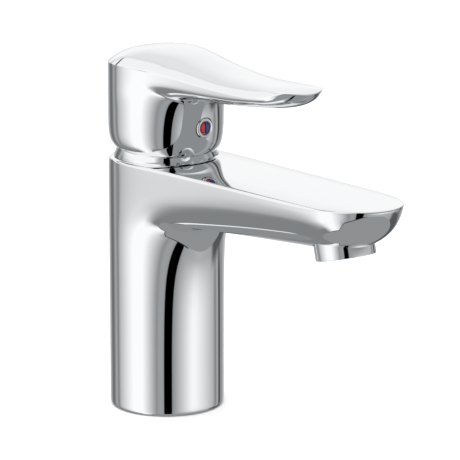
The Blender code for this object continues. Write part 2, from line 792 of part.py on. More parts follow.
def build_rotor(look, parent):
    """The turning head, with a slot that the spindle tilts in and a cross bore for its pin."""
    low = CARRIER_TOP + FIT
    groove = low + ROTOR_RING_RISE
    half = SEAL_SECTION / 2
    profile = [
        (0.0, ROTOR_TOP),
        (ROTOR_RADIUS - ROTOR_STEP, ROTOR_TOP),
        (ROTOR_RADIUS - ROTOR_STEP, ROTOR_TOP - ROTOR_SHOULDER),
        (ROTOR_RADIUS, ROTOR_TOP - ROTOR_SHOULDER),
        (ROTOR_RADIUS, groove + half),
        (ROTOR_RADIUS - half - 0.4, groove + half),
        (ROTOR_RADIUS - half - 0.4, groove - half),
        (ROTOR_RADIUS, groove - half),
        (ROTOR_RADIUS, low + FIT),
        (0.0, low + FIT),
    ]
    rotor = turned("rotor", profile, look, parent=parent)
    side = SPINDLE_SIZE / 2 + FIT
    slot = block(
        "tilt_slot", (-side, -side - 2.0, low - LAP), (side, side + 2.6, ROTOR_TOP + LAP), None, parent
    )
    boolean(rotor, slot)
    reach = PIN_LENGTH / 2 + FIT
    start = (-reach, 0, PIVOT_HEIGHT)
    boolean(rotor, rod("pin_bore", start, (reach, 0, PIVOT_HEIGHT), PIN_RADIUS + FIT, None, 16, parent))
    return rotor


def build_rotor_ring(look, parent):
    profile = o_ring(ROTOR_RADIUS - 0.35, SEAL_SECTION / 2, CARRIER_TOP + FIT + ROTOR_RING_RISE)
    return turned("rotor_o_ring", profile, look, parent=parent)


def build_housing_ring(look):
    profile = o_ring(CARTRIDGE_RADIUS - 0.85, SEAL_SECTION, O_RING_HEIGHT)
    return turned("housing_o_ring", profile, look)


def build_temperature_stop(look, parent):
    """Limiter ring on the rotor's shoulder, with one tooth that meets the housing at full hot."""
    low = ROTOR_TOP - ROTOR_SHOULDER + FIT
    inner = ROTOR_RADIUS - ROTOR_STEP + FIT
    ring = turned("temperature_stop", tube(CARTRIDGE_NECK_RADIUS - 0.4, inner, low, low + 1.4), look, parent=parent)
    tooth = block("stop_tooth", (-1.2, inner + 0.4, low + 0.2), (1.2, inner + 1.4, low + 2.4), None, parent)
    boolean(ring, tooth, "UNION")
    return ring


def build_pin(look, parent):
    half = PIN_LENGTH / 2
    return rod("pivot_pin", (-half, 0, PIVOT_HEIGHT), (half, 0, PIVOT_HEIGHT), PIN_RADIUS, look, 16, parent)


def build_spindle(look, parent):
    """Square bar with a round tip below, bored across for the pin."""
    half = SPINDLE_SIZE / 2
    top = PIVOT_HEIGHT + SPINDLE_TOP
    foot = PIVOT_HEIGHT - SPINDLE_BELOW_PIVOT
    spindle = block("spindle", (-half, -half, foot), (half, half, top), look, parent, bevel=0.8)
    radius = SPINDLE_TIP_RADIUS
    neck_top = foot + LAP - CRANK_HEIGHT
    tip = [(0.0, neck_top), (radius * 0.7, neck_top)]
    tip += [(radius * math.cos(a), radius * math.sin(a)) for a in (0.8, 0.3, -0.3, -0.8, -1.2)]
    tip.append((0.0, -radius))
    boolean(spindle, turned("spindle_tip", tip, None, (0, 0, CRANK_HEIGHT), 20, parent), "UNION")
    reach = half + LAP
    start = (-reach, 0, PIVOT_HEIGHT)
    boolean(spindle, rod("pin_hole", start, (reach, 0, PIVOT_HEIGHT), PIN_RADIUS + FIT, None, 16, parent))
    return spindle


def handle_form():
    """The outside of the handle: skirt, crowned top and lever."""
    band_foot = lever_keel(HANDLE_RADIUS) - 1.0
    straight = HANDLE_BOTTOM + 6.5
    rows = [
        (HANDLE_BOTTOM, HANDLE_RIM_RADIUS, RIM_LEAN, 0.0),
        (HANDLE_BOTTOM + 2.2, mix(HANDLE_RIM_RADIUS, HANDLE_RADIUS, 0.66), RIM_LEAN * 0.6, 0.0),
        (straight, HANDLE_RADIUS, 0.0, 0.0),
        (mix(straight, band_foot, 0.5), HANDLE_RADIUS, 0.0, 0.5),
        (band_foot, HANDLE_RADIUS, 0.0, 2.5),
    ]
    first = 24.0
    nose = LEVER_REACH - LEVER_NOSE
    stations = [
        (11.0, HANDLE_RADIUS - 2.4, 18.0, 20.0, 3.6),
        (first, HANDLE_RADIUS - 4.9, 12.0, 13.0, 3.2),
        (mix(first, nose, 0.35), HANDLE_RADIUS - 6.6, 6.0, 5.0, 3.0),
        (mix(first, nose, 0.70), HANDLE_RADIUS - 7.5, 4.0, 0.0, 2.6),
        (nose, HANDLE_RADIUS - 8.4, LEVER_NOSE, 0.0, 2.0),
    ]
    return CupWithArm(HANDLE_RADIUS, rows, stations, 2.0, lever_edge, lever_crown, lever_keel)


def build_handle(look, parent):
    """The cast lever, hollow, with a boss inside that takes the spindle."""
    handle = smoothed(finish("handle", handle_form().mesh("handle"), look, (0, 0, 0), parent))
    boolean(handle, handle_cavity(parent))
    boolean(handle, lever_hollow(parent))
    index = (0.0, -HANDLE_RADIUS - 4.0, INDEX_HEIGHT)
    inside = (0.0, -HANDLE_RADIUS + INDEX_DEPTH, INDEX_HEIGHT)
    boolean(handle, rod("index_bore", index, inside, INDEX_RADIUS + FIT, None, 24, parent))
    axis = (0.0, 0.0, INDEX_HEIGHT)
    boolean(handle, rod("grub_bore", inside_of(inside), axis, GRUB_RADIUS + FIT, None, 16, parent))
    side = SPINDLE_SIZE / 2 + FIT
    high = PIVOT_HEIGHT + SPINDLE_TOP + FIT
    boolean(handle, block("spindle_socket", (-side, -side, PIVOT_HEIGHT), (side, side, high), None, parent))
    return handle


def inside_of(place):
    """The grub screw's bore starts inside the index plug's, so that the two holes join."""
    return (place[0], place[1] - LAP, place[2])


def lever_hollow(parent):
    """A pocket that opens from the skirt's hollow into the root of the lever."""
    start = BOSS_SIZE / 2 + 5.0
    floor = lever_keel(HANDLE_RADIUS) + LEVER_WALL
    low = (-LEVER_HOLLOW_WIDTH / 2, -LEVER_REACH / 2, floor)
    high = (LEVER_HOLLOW_WIDTH / 2, -start, HANDLE_TOP - 1.0)
    return block("lever_hollow", low, high, None, parent)


def handle_cavity(parent):
    """The hollow of the skirt: round the pivot near the rim, straight above, without the boss."""
    clear = DOME_RADIUS + RUNNING_GAP
    low = HANDLE_BOTTOM - PIVOT_HEIGHT - 3.4
    high = HANDLE_BOTTOM - PIVOT_HEIGHT + 1.6
    arc = [mix(high, low, i / 5) for i in range(6)]
    straight = HANDLE_RADIUS - HANDLE_WALL
    profile = [(0.0, CAVITY_TOP - PIVOT_HEIGHT), (straight, CAVITY_TOP - PIVOT_HEIGHT)]
    profile += [(math.sqrt(clear**2 - h * h), h) for h in arc]
    profile.append((0.0, low))
    cavity = turned("handle_cavity", profile, None, (0, 0, PIVOT_HEIGHT), 32, parent)
    half = BOSS_SIZE / 2
    over = CAVITY_TOP + 5.0
    boss = block("boss", (-half, -half, BOSS_FOOT), (half, half, over), None, parent, bevel=1.0)
    rib_side = half * 0.7
    rib_low = (-rib_side, -HANDLE_RADIUS - 4.0, INDEX_HEIGHT - INDEX_RADIUS - 1.6)
    rib = block("boss_rib", rib_low, (rib_side, -half + LAP, over), None, parent)
    boolean(cavity, boss)
    boolean(cavity, rib)
    return cavity


def build_grub_screw(look, parent):
    """Headless screw with a hexagon socket, tight against the spindle."""
    start = SPINDLE_SIZE / 2 + FIT + 0.1
    far = -start - GRUB_LENGTH
    screw = rod("grub_screw", (0, -start, INDEX_HEIGHT), (0, far, INDEX_HEIGHT), GRUB_RADIUS, look, 16, parent)
    mouth = (0, far - LAP, INDEX_HEIGHT)
    end = (0, far + GRUB_SOCKET_DEPTH, INDEX_HEIGHT)
    boolean(screw, rod("hex_socket", mouth, end, GRUB_SOCKET_RADIUS, None, 6, parent))
    return screw


def build_index(ring_look, hot_look, cold_look, parent):
    """The button: a grey ring with a red and a blue half disc let into its face."""
    face = HANDLE_RADIUS + INDEX_STANDS_OUT
    back = HANDLE_RADIUS - INDEX_DEPTH + FIT
    plug = rod("index_plug", (0, -back, INDEX_HEIGHT), (0, -face, INDEX_HEIGHT), INDEX_RADIUS, ring_look, 24, parent)
    floor = face - INDEX_RECESS
    rim = INDEX_MARK_RADIUS + FIT
    boolean(plug, rod("recess", (0, -floor, INDEX_HEIGHT), (0, -face - LAP, INDEX_HEIGHT), rim, None, 24, parent))
    made = [plug]
    away = INDEX_RADIUS * 2
    for name, side, look in (("index_hot", -1.0, hot_look), ("index_cold", 1.0, cold_look)):
        start = (0, -floor - FIT, INDEX_HEIGHT)
        mark = rod(name, start, (0, -face, INDEX_HEIGHT), INDEX_MARK_RADIUS, look, 24, parent)
        inner, outer = side * HALF_SPLIT, -side * away
        low = (min(inner, outer), -face - 2.0, INDEX_HEIGHT - away)
        high = (max(inner, outer), -floor + 2.0, INDEX_HEIGHT + away)
        boolean(mark, block(name + "_cutter", low, high, None, parent))
        made.append(mark)
    return made


def build_aerator(chrome, rubber, plastic, steel):
    """Collar, washer, jet insert, flow regulator and strainer, stacked on one leaning axis."""
    frame = aerator_frame()
    inner = AERATOR_RADIUS - AERATOR_WALL
    lip = inner - AERATOR_LIP
    top = AERATOR_HEIGHT - 1.6
    collar = [
        (AERATOR_RADIUS - 0.4, top),
        (AERATOR_RADIUS, top - 0.4),
        (AERATOR_RADIUS, 0.5),
        (AERATOR_RADIUS - 0.5, 0.0),
        (lip, 0.0),
        (lip, AERATOR_LIP),
        (inner, AERATOR_LIP),
        (inner, top),
    ]
    leaning(turned("aerator_housing", collar, chrome), frame)
    jet_top = top - 3.4
    jet = inner - FIT
    insert = turned("aerator_insert", disc(jet, AERATOR_LIP + FIT, jet_top), plastic)
    leaning(insert, frame)
    for number in range(AERATOR_SLOTS):
        turn = math.tau * number / AERATOR_SLOTS
        x, y = 0.6 * jet * math.cos(turn), 0.6 * jet * math.sin(turn)
        hole = rod("jet_hole", (x, y, 0.0), (x, y, AERATOR_HEIGHT), JET_RADIUS, None, 10)
        boolean(insert, leaning(hole, frame))
    regulator = turned("flow_regulator", tube(jet - 2.0, 1.6, jet_top + FIT, jet_top + 1.7), rubber)
    leaning(regulator, frame)
    screen_low = jet_top + 1.7 + FIT
    screen = turned("aerator_screen", tube(jet - 1.0, 1.0, screen_low, screen_low + 1.0), steel)
    leaning(screen, frame)
    washer = tube(AERATOR_RADIUS - 0.6, inner - 1.6, top + FIT, top + 1.4)
    leaning(turned("aerator_seal", washer, rubber), frame)


def main():
    clear_scene()
    chrome = material("chrome", (0.80, 0.81, 0.82), 0.06, 1.0)
    steel = material("steel", (0.55, 0.56, 0.57), 0.3, 1.0)
    brass = material("brass", (0.72, 0.53, 0.27), 0.35, 1.0)
    rubber = material("rubber", (0.03, 0.03, 0.03), 0.8, 0.0)
    shell = material("cartridge_plastic", (0.75, 0.76, 0.74), 0.45, 0.0)
    slider = material("slider_plastic", (0.12, 0.2, 0.45), 0.45, 0.0)
    ceramic = material("ceramic", (0.86, 0.86, 0.84), 0.2, 0.0)
    grey = material("index_ring", (0.60, 0.61, 0.62), 0.15, 1.0)
    red = material("index_red", (0.55, 0.03, 0.04), 0.3, 0.0)
    blue = material("index_blue", (0.03, 0.06, 0.45), 0.3, 0.0)
    turn = joint_empty("temperature_axis", (0, 0, PIVOT_HEIGHT))
    lift = joint_empty("lever_axis", (0, 0, PIVOT_HEIGHT))
    slide = joint_empty("disc_axis", (0, 0, FIXED_DISC_TOP))

    build_body(chrome)
    build_base_seal(rubber)
    build_dome_ring(chrome)
    build_glide_ring(slider)
    build_nut(brass)
    build_cartridge_housing(shell)
    build_cartridge_foot(shell)
    build_port_seals(rubber)
    build_housing_ring(rubber)
    build_fixed_disc(ceramic)
    build_aerator(chrome, rubber, shell, steel)

    build_rotor(shell, turn)
    build_rotor_ring(rubber, turn)
    build_temperature_stop(slider, turn)
    build_pin(steel, turn)

    build_moving_disc(ceramic, slide)
    build_disc_carrier(slider, slide)

    build_spindle(steel, lift)
    build_handle(chrome, lift)
    build_grub_screw(steel, lift)
    build_index(grey, red, blue, lift)


main()
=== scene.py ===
"""Looks of a chromed single-lever basin mixer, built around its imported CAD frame.

Every length is in metres. The spout and the lever point along -Y, so a distance "reach" in front of the
column's axis is -Y. The object is the same on both sides of X = 0.
"""

import json
import logging
import math
from dataclasses import dataclass, field
from enum import Enum
from typing import ClassVar, Iterable, Sequence

import bmesh
import bpy
from mathutils import Matrix, Vector

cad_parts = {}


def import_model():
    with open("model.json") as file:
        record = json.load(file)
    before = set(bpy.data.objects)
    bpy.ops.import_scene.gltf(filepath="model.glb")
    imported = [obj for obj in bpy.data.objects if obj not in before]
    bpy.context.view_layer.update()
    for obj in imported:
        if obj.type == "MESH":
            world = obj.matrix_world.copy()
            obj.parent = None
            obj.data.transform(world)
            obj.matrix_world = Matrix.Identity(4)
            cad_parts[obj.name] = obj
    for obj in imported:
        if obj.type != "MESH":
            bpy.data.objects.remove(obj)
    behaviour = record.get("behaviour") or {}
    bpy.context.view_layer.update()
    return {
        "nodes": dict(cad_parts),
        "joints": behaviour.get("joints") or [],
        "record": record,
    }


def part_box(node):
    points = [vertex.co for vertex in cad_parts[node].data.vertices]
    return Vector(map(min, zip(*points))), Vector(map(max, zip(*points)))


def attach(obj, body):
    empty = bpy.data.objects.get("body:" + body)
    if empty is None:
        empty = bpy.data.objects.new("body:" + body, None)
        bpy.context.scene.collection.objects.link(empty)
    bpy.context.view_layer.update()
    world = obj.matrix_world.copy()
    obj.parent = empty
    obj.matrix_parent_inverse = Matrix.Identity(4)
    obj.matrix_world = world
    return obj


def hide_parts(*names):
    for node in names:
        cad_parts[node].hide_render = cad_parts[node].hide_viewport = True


log = logging.getLogger("mixer")

MM = 0.001

Point = tuple[float, float, float]


# ---------------------------------------------------------------------------------------------------
# Shader maths
# ---------------------------------------------------------------------------------------------------


class Sock:
    """An output socket that takes part in Python arithmetic, each operation adding its Math node."""

    def __init__(self, tree: bpy.types.NodeTree, socket: bpy.types.NodeSocket) -> None:
        """Wraps one socket of a node tree."""
        self.tree = tree
        self.socket = socket

    def math(self, operation: str, *others: "float | Sock", clamp: bool = False) -> "Sock":
        """Adds a Math node with this socket first.

        Args:
            operation: the Math node's operation.
            others: the second and third inputs, sockets or numbers.
            clamp: whether the result is held between 0 and 1.

        Returns:
            The node's result.
        """
        settings = {"operation": operation, "use_clamp": clamp}
        return node(self.tree, "ShaderNodeMath", settings, {i: v for i, v in enumerate((self, *others))})

    def __add__(self, other: "float | Sock") -> "Sock":
        """Sum."""
        return self.math("ADD", other)

    def __sub__(self, other: "float | Sock") -> "Sock":
        """Difference."""
        return self.math("SUBTRACT", other)

    def __rsub__(self, other: float) -> "Sock":
        """Difference from a number."""
        return (self * -1.0) + other

    def __mul__(self, other: "float | Sock") -> "Sock":
        """Product."""
        return self.math("MULTIPLY", other)

    def __truediv__(self, other: "float | Sock") -> "Sock":
        """Quotient."""
        return self.math("DIVIDE", other)

    def __gt__(self, other: "float | Sock") -> "Sock":
        """1 where this is greater."""
        return self.math("GREATER_THAN", other)

    __radd__ = __add__
    __rmul__ = __mul__


def node(
    tree: bpy.types.NodeTree,
    kind: str,
    settings: dict[str, object],
    inputs: dict[object, object],
    out: object = 0,
) -> Sock:
    """Adds any shader node.

    Args:
        tree: the node tree.
        kind: the node's type name.
        settings: its attributes, or "stops" for a colour ramp as (place, colour) pairs.
        inputs: a value or a wrapped socket for each named or numbered input.
        out: the name or number of the output wanted.

    Returns:
        The wrapped output.
    """
    made = tree.nodes.new(kind)
    for name, value in settings.items():
        if name == "stops":
            fill_ramp(made.color_ramp, value)
        else:
            setattr(made, name, value)
    for name, value in inputs.items():
        if isinstance(value, Sock):
            tree.links.new(value.socket, made.inputs[name])
        else:
            made.inputs[name].default_value = value
    return Sock(tree, made.outputs[out])


def fill_ramp(ramp: bpy.types.ColorRamp, stops: Sequence[tuple[float, Sequence[float]]]) -> None:
    """Sets the stops of a colour ramp from (place, colour) pairs."""
    while len(ramp.elements) < len(stops):
        ramp.elements.new(1.0)
    for element, (place, colour) in zip(ramp.elements, stops):
        element.position = place
        element.color = colour


def blend_colours(tree: bpy.types.NodeTree, share: "float | Sock", low: object, high: object) -> Sock:
    """Mixes two colours by a share, through a Mix node."""
    settings = {"data_type": "RGBA"}
    inputs = {0: share, 6: low, 7: high}
    return node(tree, "ShaderNodeMix", settings, inputs, 2)


def smooth_step(value: Sock, low: float, high: float) -> Sock:
    """0 below low, 1 above high, and a smooth rise between them."""
    settings = {"interpolation_type": "SMOOTHSTEP"}
    return node(value.tree, "ShaderNodeMapRange", settings, {0: value, 1: low, 2: high, 3: 0.0, 4: 1.0})


def ramp(value: Sock, low: float, high: float) -> Sock:
    """0 at low and before, 1 at high and after, straight between them; low may be the greater."""
    return node(value.tree, "ShaderNodeMapRange", {}, {0: value, 1: low, 2: high, 3: 0.0, 4: 1.0})


def between(low: "float | Sock", high: "float | Sock", share: Sock) -> Sock:
    """The value a share of the way from low to high."""
    return share * (high - low) + low


# ---------------------------------------------------------------------------------------------------
# Finishes
# ---------------------------------------------------------------------------------------------------


class Grain(Enum):
    """How a finish's fine surface runs."""

    POLISHED = "polished"
    TURNED = "turned"
    MOULDED = "moulded"
    LAPPED = "lapped"


@dataclass(frozen=True)
class Finish:
    """A surface finish as one procedural Principled material.

    Fields are linear colours and plain numbers; wear is how far the second colour shows.
    """

    name: str
    slot: str
    colour: tuple[float, float, float]
    worn: tuple[float, float, float]
    metallic: float
    roughness: float
    spread: float
    grain: Grain
    grain_size: float
    bump: float
    wear: float = 0.3
    coat: float = 0.0
    made: ClassVar[dict[str, bpy.types.Material]] = {}

    def material(self) -> bpy.types.Material:
        """The material, made the first time that it is asked for."""
        if self.name not in Finish.made:
            Finish.made[self.name] = self.build()
        return Finish.made[self.name]

    def build(self) -> bpy.types.Material:
        """Makes the node tree.

        Returns:
            The new material.
        """
        made = bpy.data.materials.new(self.name)
        made.use_nodes = True
        tree = made.node_tree
        shader = tree.nodes["Principled BSDF"]
        place = node(tree, "ShaderNodeTexCoord", {}, {}, "Object")
        cloud = self.noise(tree, place, 38.0, 4.0)
        fine = self.noise(tree, place, 1.0 / self.grain_size, 3.0)
        worn = smooth_step(cloud, 0.35, 0.75) * self.wear
        tone = blend_colours(tree, worn, (*self.colour, 1.0), (*self.worn, 1.0))
        rough = (cloud - 0.5) * self.spread + (fine - 0.5) * (self.spread * 0.5) + self.roughness
        height = self.relief(tree, place, fine)
        bump = node(
            tree, "ShaderNodeBump", {}, {"Strength": 1.0, "Distance": self.bump, "Height": height}, "Normal"
        )
        tree.links.new(tone.socket, shader.inputs["Base Color"])
        tree.links.new(rough.socket, shader.inputs["Roughness"])
        tree.links.new(bump.socket, shader.inputs["Normal"])
        shader.inputs["Metallic"].default_value = self.metallic
        shader.inputs["Coat Weight"].default_value = self.coat
        shader.inputs["Coat Roughness"].default_value = 0.05
        return made

    def noise(self, tree: bpy.types.NodeTree, place: Sock, scale: float, detail: float) -> Sock:
        """Noise over the object's own coordinates."""
        return node(tree, "ShaderNodeTexNoise", {}, {"Vector": place, "Scale": scale, "Detail": detail}, 0)

    def relief(self, tree: bpy.types.NodeTree, place: Sock, fine: Sock) -> Sock:
        """The height that the bump follows, by the kind of grain.

        Args:
            tree: the node tree.
            place: the object's coordinates.
            fine: the fine noise.

        Returns:
            A height from 0 to about 1.
        """
        if self.grain is Grain.TURNED:
            long = node(
                tree,
                "ShaderNodeMapping",
                {"vector_type": "POINT"},
                {"Vector": place, "Scale": (0.06, 0.06, 1.0)},
            )
            return self.noise(tree, long, 1.0 / self.grain_size, 2.0)
        if self.grain is Grain.LAPPED:
            size = 1.0 / self.grain_size
            cells = node(tree, "ShaderNodeTexVoronoi", {}, {"Vector": place, "Scale": size}, 0)
            return cells * 0.6 + fine * 0.4
        if self.grain is Grain.MOULDED:
            return fine * 0.7 + self.noise(tree, place, 0.25 / self.grain_size, 2.0) * 0.3
        return self.scratches(tree, place) * 0.5 + fine * 0.5

    def scratches(self, tree: bpy.types.NodeTree, place: Sock) -> Sock:
        """Sparse hairlines in two directions, as polishing cloths leave on plate."""
        total = None
        for turn in (0.5, 2.1):
            long = node(
                tree,
                "ShaderNodeMapping",
                {},
                {"Vector": place, "Rotation": (turn, turn * 0.7, turn), "Scale": (0.02, 1.0, 0.02)},
            )
            line = smooth_step(self.noise(tree, long, 5200.0, 1.0), 0.68, 0.74)
            total = line if total is None else total + line
        return total


CHROME = Finish(
    "polished_chrome", "chrome", (0.93, 0.935, 0.945), (0.90, 0.91, 0.925), 1.0, 0.022, 0.016,
    Grain.POLISHED, 0.0006, 0.0000004,
)
STEEL = Finish(
    "bright_steel", "steel", (0.56, 0.57, 0.58), (0.45, 0.45, 0.46), 1.0, 0.24, 0.1,
    Grain.TURNED, 0.0003, 0.000004,
)
BRASS = Finish(
    "machined_brass", "brass", (0.78, 0.56, 0.26), (0.62, 0.42, 0.18), 1.0, 0.26, 0.12,
    Grain.TURNED, 0.0004, 0.000006,
)
RUBBER = Finish(
    "black_rubber", "rubber", (0.022, 0.022, 0.023), (0.05, 0.05, 0.048), 0.0, 0.72, 0.1,
    Grain.MOULDED, 0.0005, 0.00001,
)
SHELL = Finish(
    "cartridge_shell", "cartridge_plastic", (0.74, 0.75, 0.73), (0.66, 0.67, 0.64), 0.0, 0.42, 0.1,
    Grain.MOULDED, 0.0006, 0.000008,
)
SLIDER = Finish(
    "slider_plastic", "slider_plastic", (0.10, 0.17, 0.42), (0.16, 0.22, 0.45), 0.0, 0.4, 0.1,
    Grain.MOULDED, 0.0006, 0.000008,
)
CERAMIC = Finish(
    "lapped_ceramic", "ceramic", (0.86, 0.86, 0.83), (0.80, 0.80, 0.78), 0.0, 0.16, 0.06,
    Grain.LAPPED, 0.0008, 0.000002,
)
INDEX_RING = Finish(
    "index_ring", "index_ring", (0.86, 0.87, 0.88), (0.80, 0.81, 0.82), 1.0, 0.06, 0.03,
    Grain.POLISHED, 0.0005, 0.000001,
)
INDEX_RED = Finish(
    "index_red", "index_red", (0.42, 0.012, 0.022), (0.34, 0.01, 0.02), 0.0, 0.22, 0.06,
    Grain.MOULDED, 0.0004, 0.000004, 0.3, 0.6,
)
INDEX_BLUE = Finish(
    "index_blue", "index_blue", (0.018, 0.022, 0.19), (0.015, 0.02, 0.15), 0.0, 0.22, 0.06,
    Grain.MOULDED, 0.0004, 0.000004, 0.3, 0.6,
)
INNER_FINISHES = (STEEL, BRASS, RUBBER, SHELL, SLIDER, CERAMIC, INDEX_RED, INDEX_BLUE, CHROME)
FINISHES = {finish.slot: finish for finish in INNER_FINISHES}


# ---------------------------------------------------------------------------------------------------
# Bench tools: what every piece is shaped with
# ---------------------------------------------------------------------------------------------------


def mix(low: float, high: float, share: float) -> float:
    """The value a share of the way from low to high."""
    return low + (high - low) * share


def deselect() -> None:
    """Leaves nothing selected in object mode."""
    if bpy.context.mode != "OBJECT":
        bpy.ops.object.mode_set(mode="OBJECT")
    bpy.ops.object.select_all(action="DESELECT")


def take_new(name: str) -> bpy.types.Object:
    """Names the primitive that was just added, and returns it."""
    made = bpy.context.active_object
    made.name = name
    made.data.name = name
    return made


def settle(piece: bpy.types.Object) -> None:
    """Applies the piece's place, turn and scale to its mesh."""
    deselect()
    piece.select_set(True)
    bpy.context.view_layer.objects.active = piece
    bpy.ops.object.transform_apply(location=True, rotation=True, scale=True)
    piece.select_set(False)


def apply_modifier(piece: bpy.types.Object, kind: str, **settings: object) -> None:
    """Adds one modifier with its settings and applies it.

    Args:
        piece: the object.
        kind: the modifier's type.
        settings: its attributes.
    """
    modifier = piece.modifiers.new(kind.title(), kind)
    for name, value in settings.items():
        setattr(modifier, name, value)
    deselect()
    piece.select_set(True)
    bpy.context.view_layer.objects.active = piece
    bpy.ops.object.modifier_apply(modifier=modifier.name)
    piece.select_set(False)


def cut(piece: bpy.types.Object, tool: bpy.types.Object) -> None:
    """Cuts a tool out of the piece and removes the tool."""
    apply_modifier(piece, "BOOLEAN", operation="DIFFERENCE", object=tool, solver="EXACT")
    bpy.data.objects.remove(tool, do_unlink=True)


def shade(piece: bpy.types.Object, angle: float = 35.0) -> None:
    """Shades the piece smooth, apart from edges sharper than the angle in degrees."""
    deselect()
    piece.select_set(True)
    bpy.context.view_layer.objects.active = piece
    bpy.ops.object.shade_smooth_by_angle(angle=math.radians(angle))
    piece.select_set(False)


def dress(piece: bpy.types.Object, finish: Finish) -> None:
    """Gives the whole piece one finish."""
    piece.data.materials.clear()
    piece.data.materials.append(finish.material())


def edit(piece: bpy.types.Object) -> bmesh.types.BMesh:
    """Opens the piece in edit mode with nothing selected, and returns its edit mesh."""
    deselect()
    piece.select_set(True)
    bpy.context.view_layer.objects.active = piece
    bpy.ops.object.mode_set(mode="EDIT")
    bpy.ops.mesh.select_mode(type="VERT")
    bpy.ops.mesh.select_all(action="DESELECT")
    return bmesh.from_edit_mesh(piece.data)


def spun(
    name: str, profile: Sequence[tuple[float, float]], steps: int, middle: Point = (0.0, 0.0, 0.0)
) -> bpy.types.Object:
    """A turned piece: the profile's outline is extruded point by point, then spun about +Z.

    Args:
        name: the piece's name.
        profile: (radius, height) points. A closed ring's last point joins its first; a profile that
            starts on the axis ends on it.
        steps: how many flats the turn has.
        middle: where the axis and the profile's zero height stand.

    Returns:
        The finished piece, its doubles merged and its normals outward.
    """
    deselect()
    bpy.ops.mesh.primitive_plane_add(size=MM, location=(0.0, 0.0, 0.0))
    piece = take_new(name)
    shape = edit(piece)
    bpy.ops.mesh.select_all(action="SELECT")
    bpy.ops.mesh.merge(type="CENTER")
    shape = bmesh.from_edit_mesh(piece.data)
    start = shape.verts[:][0]
    radius, height = profile[0]
    start.co = Vector((radius, 0.0, height)) + Vector(middle)
    start.select_set(True)
    bmesh.update_edit_mesh(piece.data)
    for (radius, height), (after_radius, after_height) in zip(profile, profile[1:]):
        step = (after_radius - radius, 0.0, after_height - height)
        bpy.ops.mesh.extrude_vertices_move(TRANSFORM_OT_translate={"value": step})
    ring = profile[0][0] > 0.0
    if ring:
        shape = bmesh.from_edit_mesh(piece.data)
        ends = [vert for vert in shape.verts if len(vert.link_edges) == 1]
        for vert in ends:
            vert.select_set(True)
        bmesh.update_edit_mesh(piece.data)
        bpy.ops.mesh.edge_face_add()
    bpy.ops.mesh.select_all(action="SELECT")
    bpy.ops.mesh.spin(steps=steps, angle=math.tau, center=middle, axis=(0.0, 0.0, 1.0))
    bpy.ops.mesh.select_all(action="SELECT")
    bpy.ops.mesh.remove_doubles(threshold=0.000002)
    bpy.ops.mesh.normals_make_consistent(inside=False)
    deselect()
    return piece


def rounded(
    points: Sequence[tuple[float, float]], radius: float, steps: int = 4
) -> list[tuple[float, float]]:
    """Rounds the inner corners of an open or closed outline with short arcs of a quadratic curve.

    Args:
        points: the outline's corners.
        radius: how far from each corner its arc starts.
        steps: how many pieces each arc has.

    Returns:
        The rounded outline. The first and last corners stay where they are.
    """
    out = [points[0]]
    for before, corner, after in zip(points, points[1:], points[2:]):
        here = Vector(corner)
        back = Vector(before) - here
        ahead = Vector(after) - here
        start = here + back.normalized() * min(radius, back.length * 0.45)
        end = here + ahead.normalized() * min(radius, ahead.length * 0.45)
        for i in range(steps + 1):
            share = i / steps
            spot = start.lerp(here, share).lerp(here.lerp(end, share), share)
            out.append((spot.x, spot.y))
    out.append(points[-1])
    return out


def bar(name: str, start: Point, end: Point, radius: float, sides: int = 32) -> bpy.types.Object:
    """A round bar between two points, as a cutter or a start."""
    along = Vector(end) - Vector(start)
    deselect()
    turn = along.to_track_quat("Z", "Y").to_euler()
    middle = (Vector(start) + Vector(end)) / 2
    bpy.ops.mesh.primitive_cylinder_add(
        vertices=sides, radius=radius, depth=along.length, location=middle, rotation=turn
    )
    made = take_new(name)
    settle(made)
    return made


def box_between(name: str, low: Point, high: Point) -> bpy.types.Object:
    """A plain block between two corners, as a cutter."""
    deselect()
    size = Vector(high) - Vector(low)
    middle = (Vector(low) + Vector(high)) / 2
    bpy.ops.mesh.primitive_cube_add(size=1.0, location=middle, scale=size)
    made = take_new(name)
    settle(made)
    return made


# ---------------------------------------------------------------------------------------------------
# The two castings
# ---------------------------------------------------------------------------------------------------


@dataclass
class Station:
    """One section of an arm: where its edges stand, its half width, and how far its rows bow forward.

    A squareness of 2 gives a half ellipse below the edges, and more gives steeper sides.
    """

    start: float
    half_width: float
    bow_top: float
    bow_low: float
    squareness: float = 2.0

    def full(self, share: float) -> float:
        """A sine or cosine of the section's turn, pushed out by its squareness."""
        return max(share, 0.0) ** (2.0 / self.squareness)


@dataclass
class Row:
    """One level of the cup: its height and radius, how far it leans, and how far its front stands out."""

    height: float
    radius: float
    lean: float = 0.0
    bulge: float = 0.0


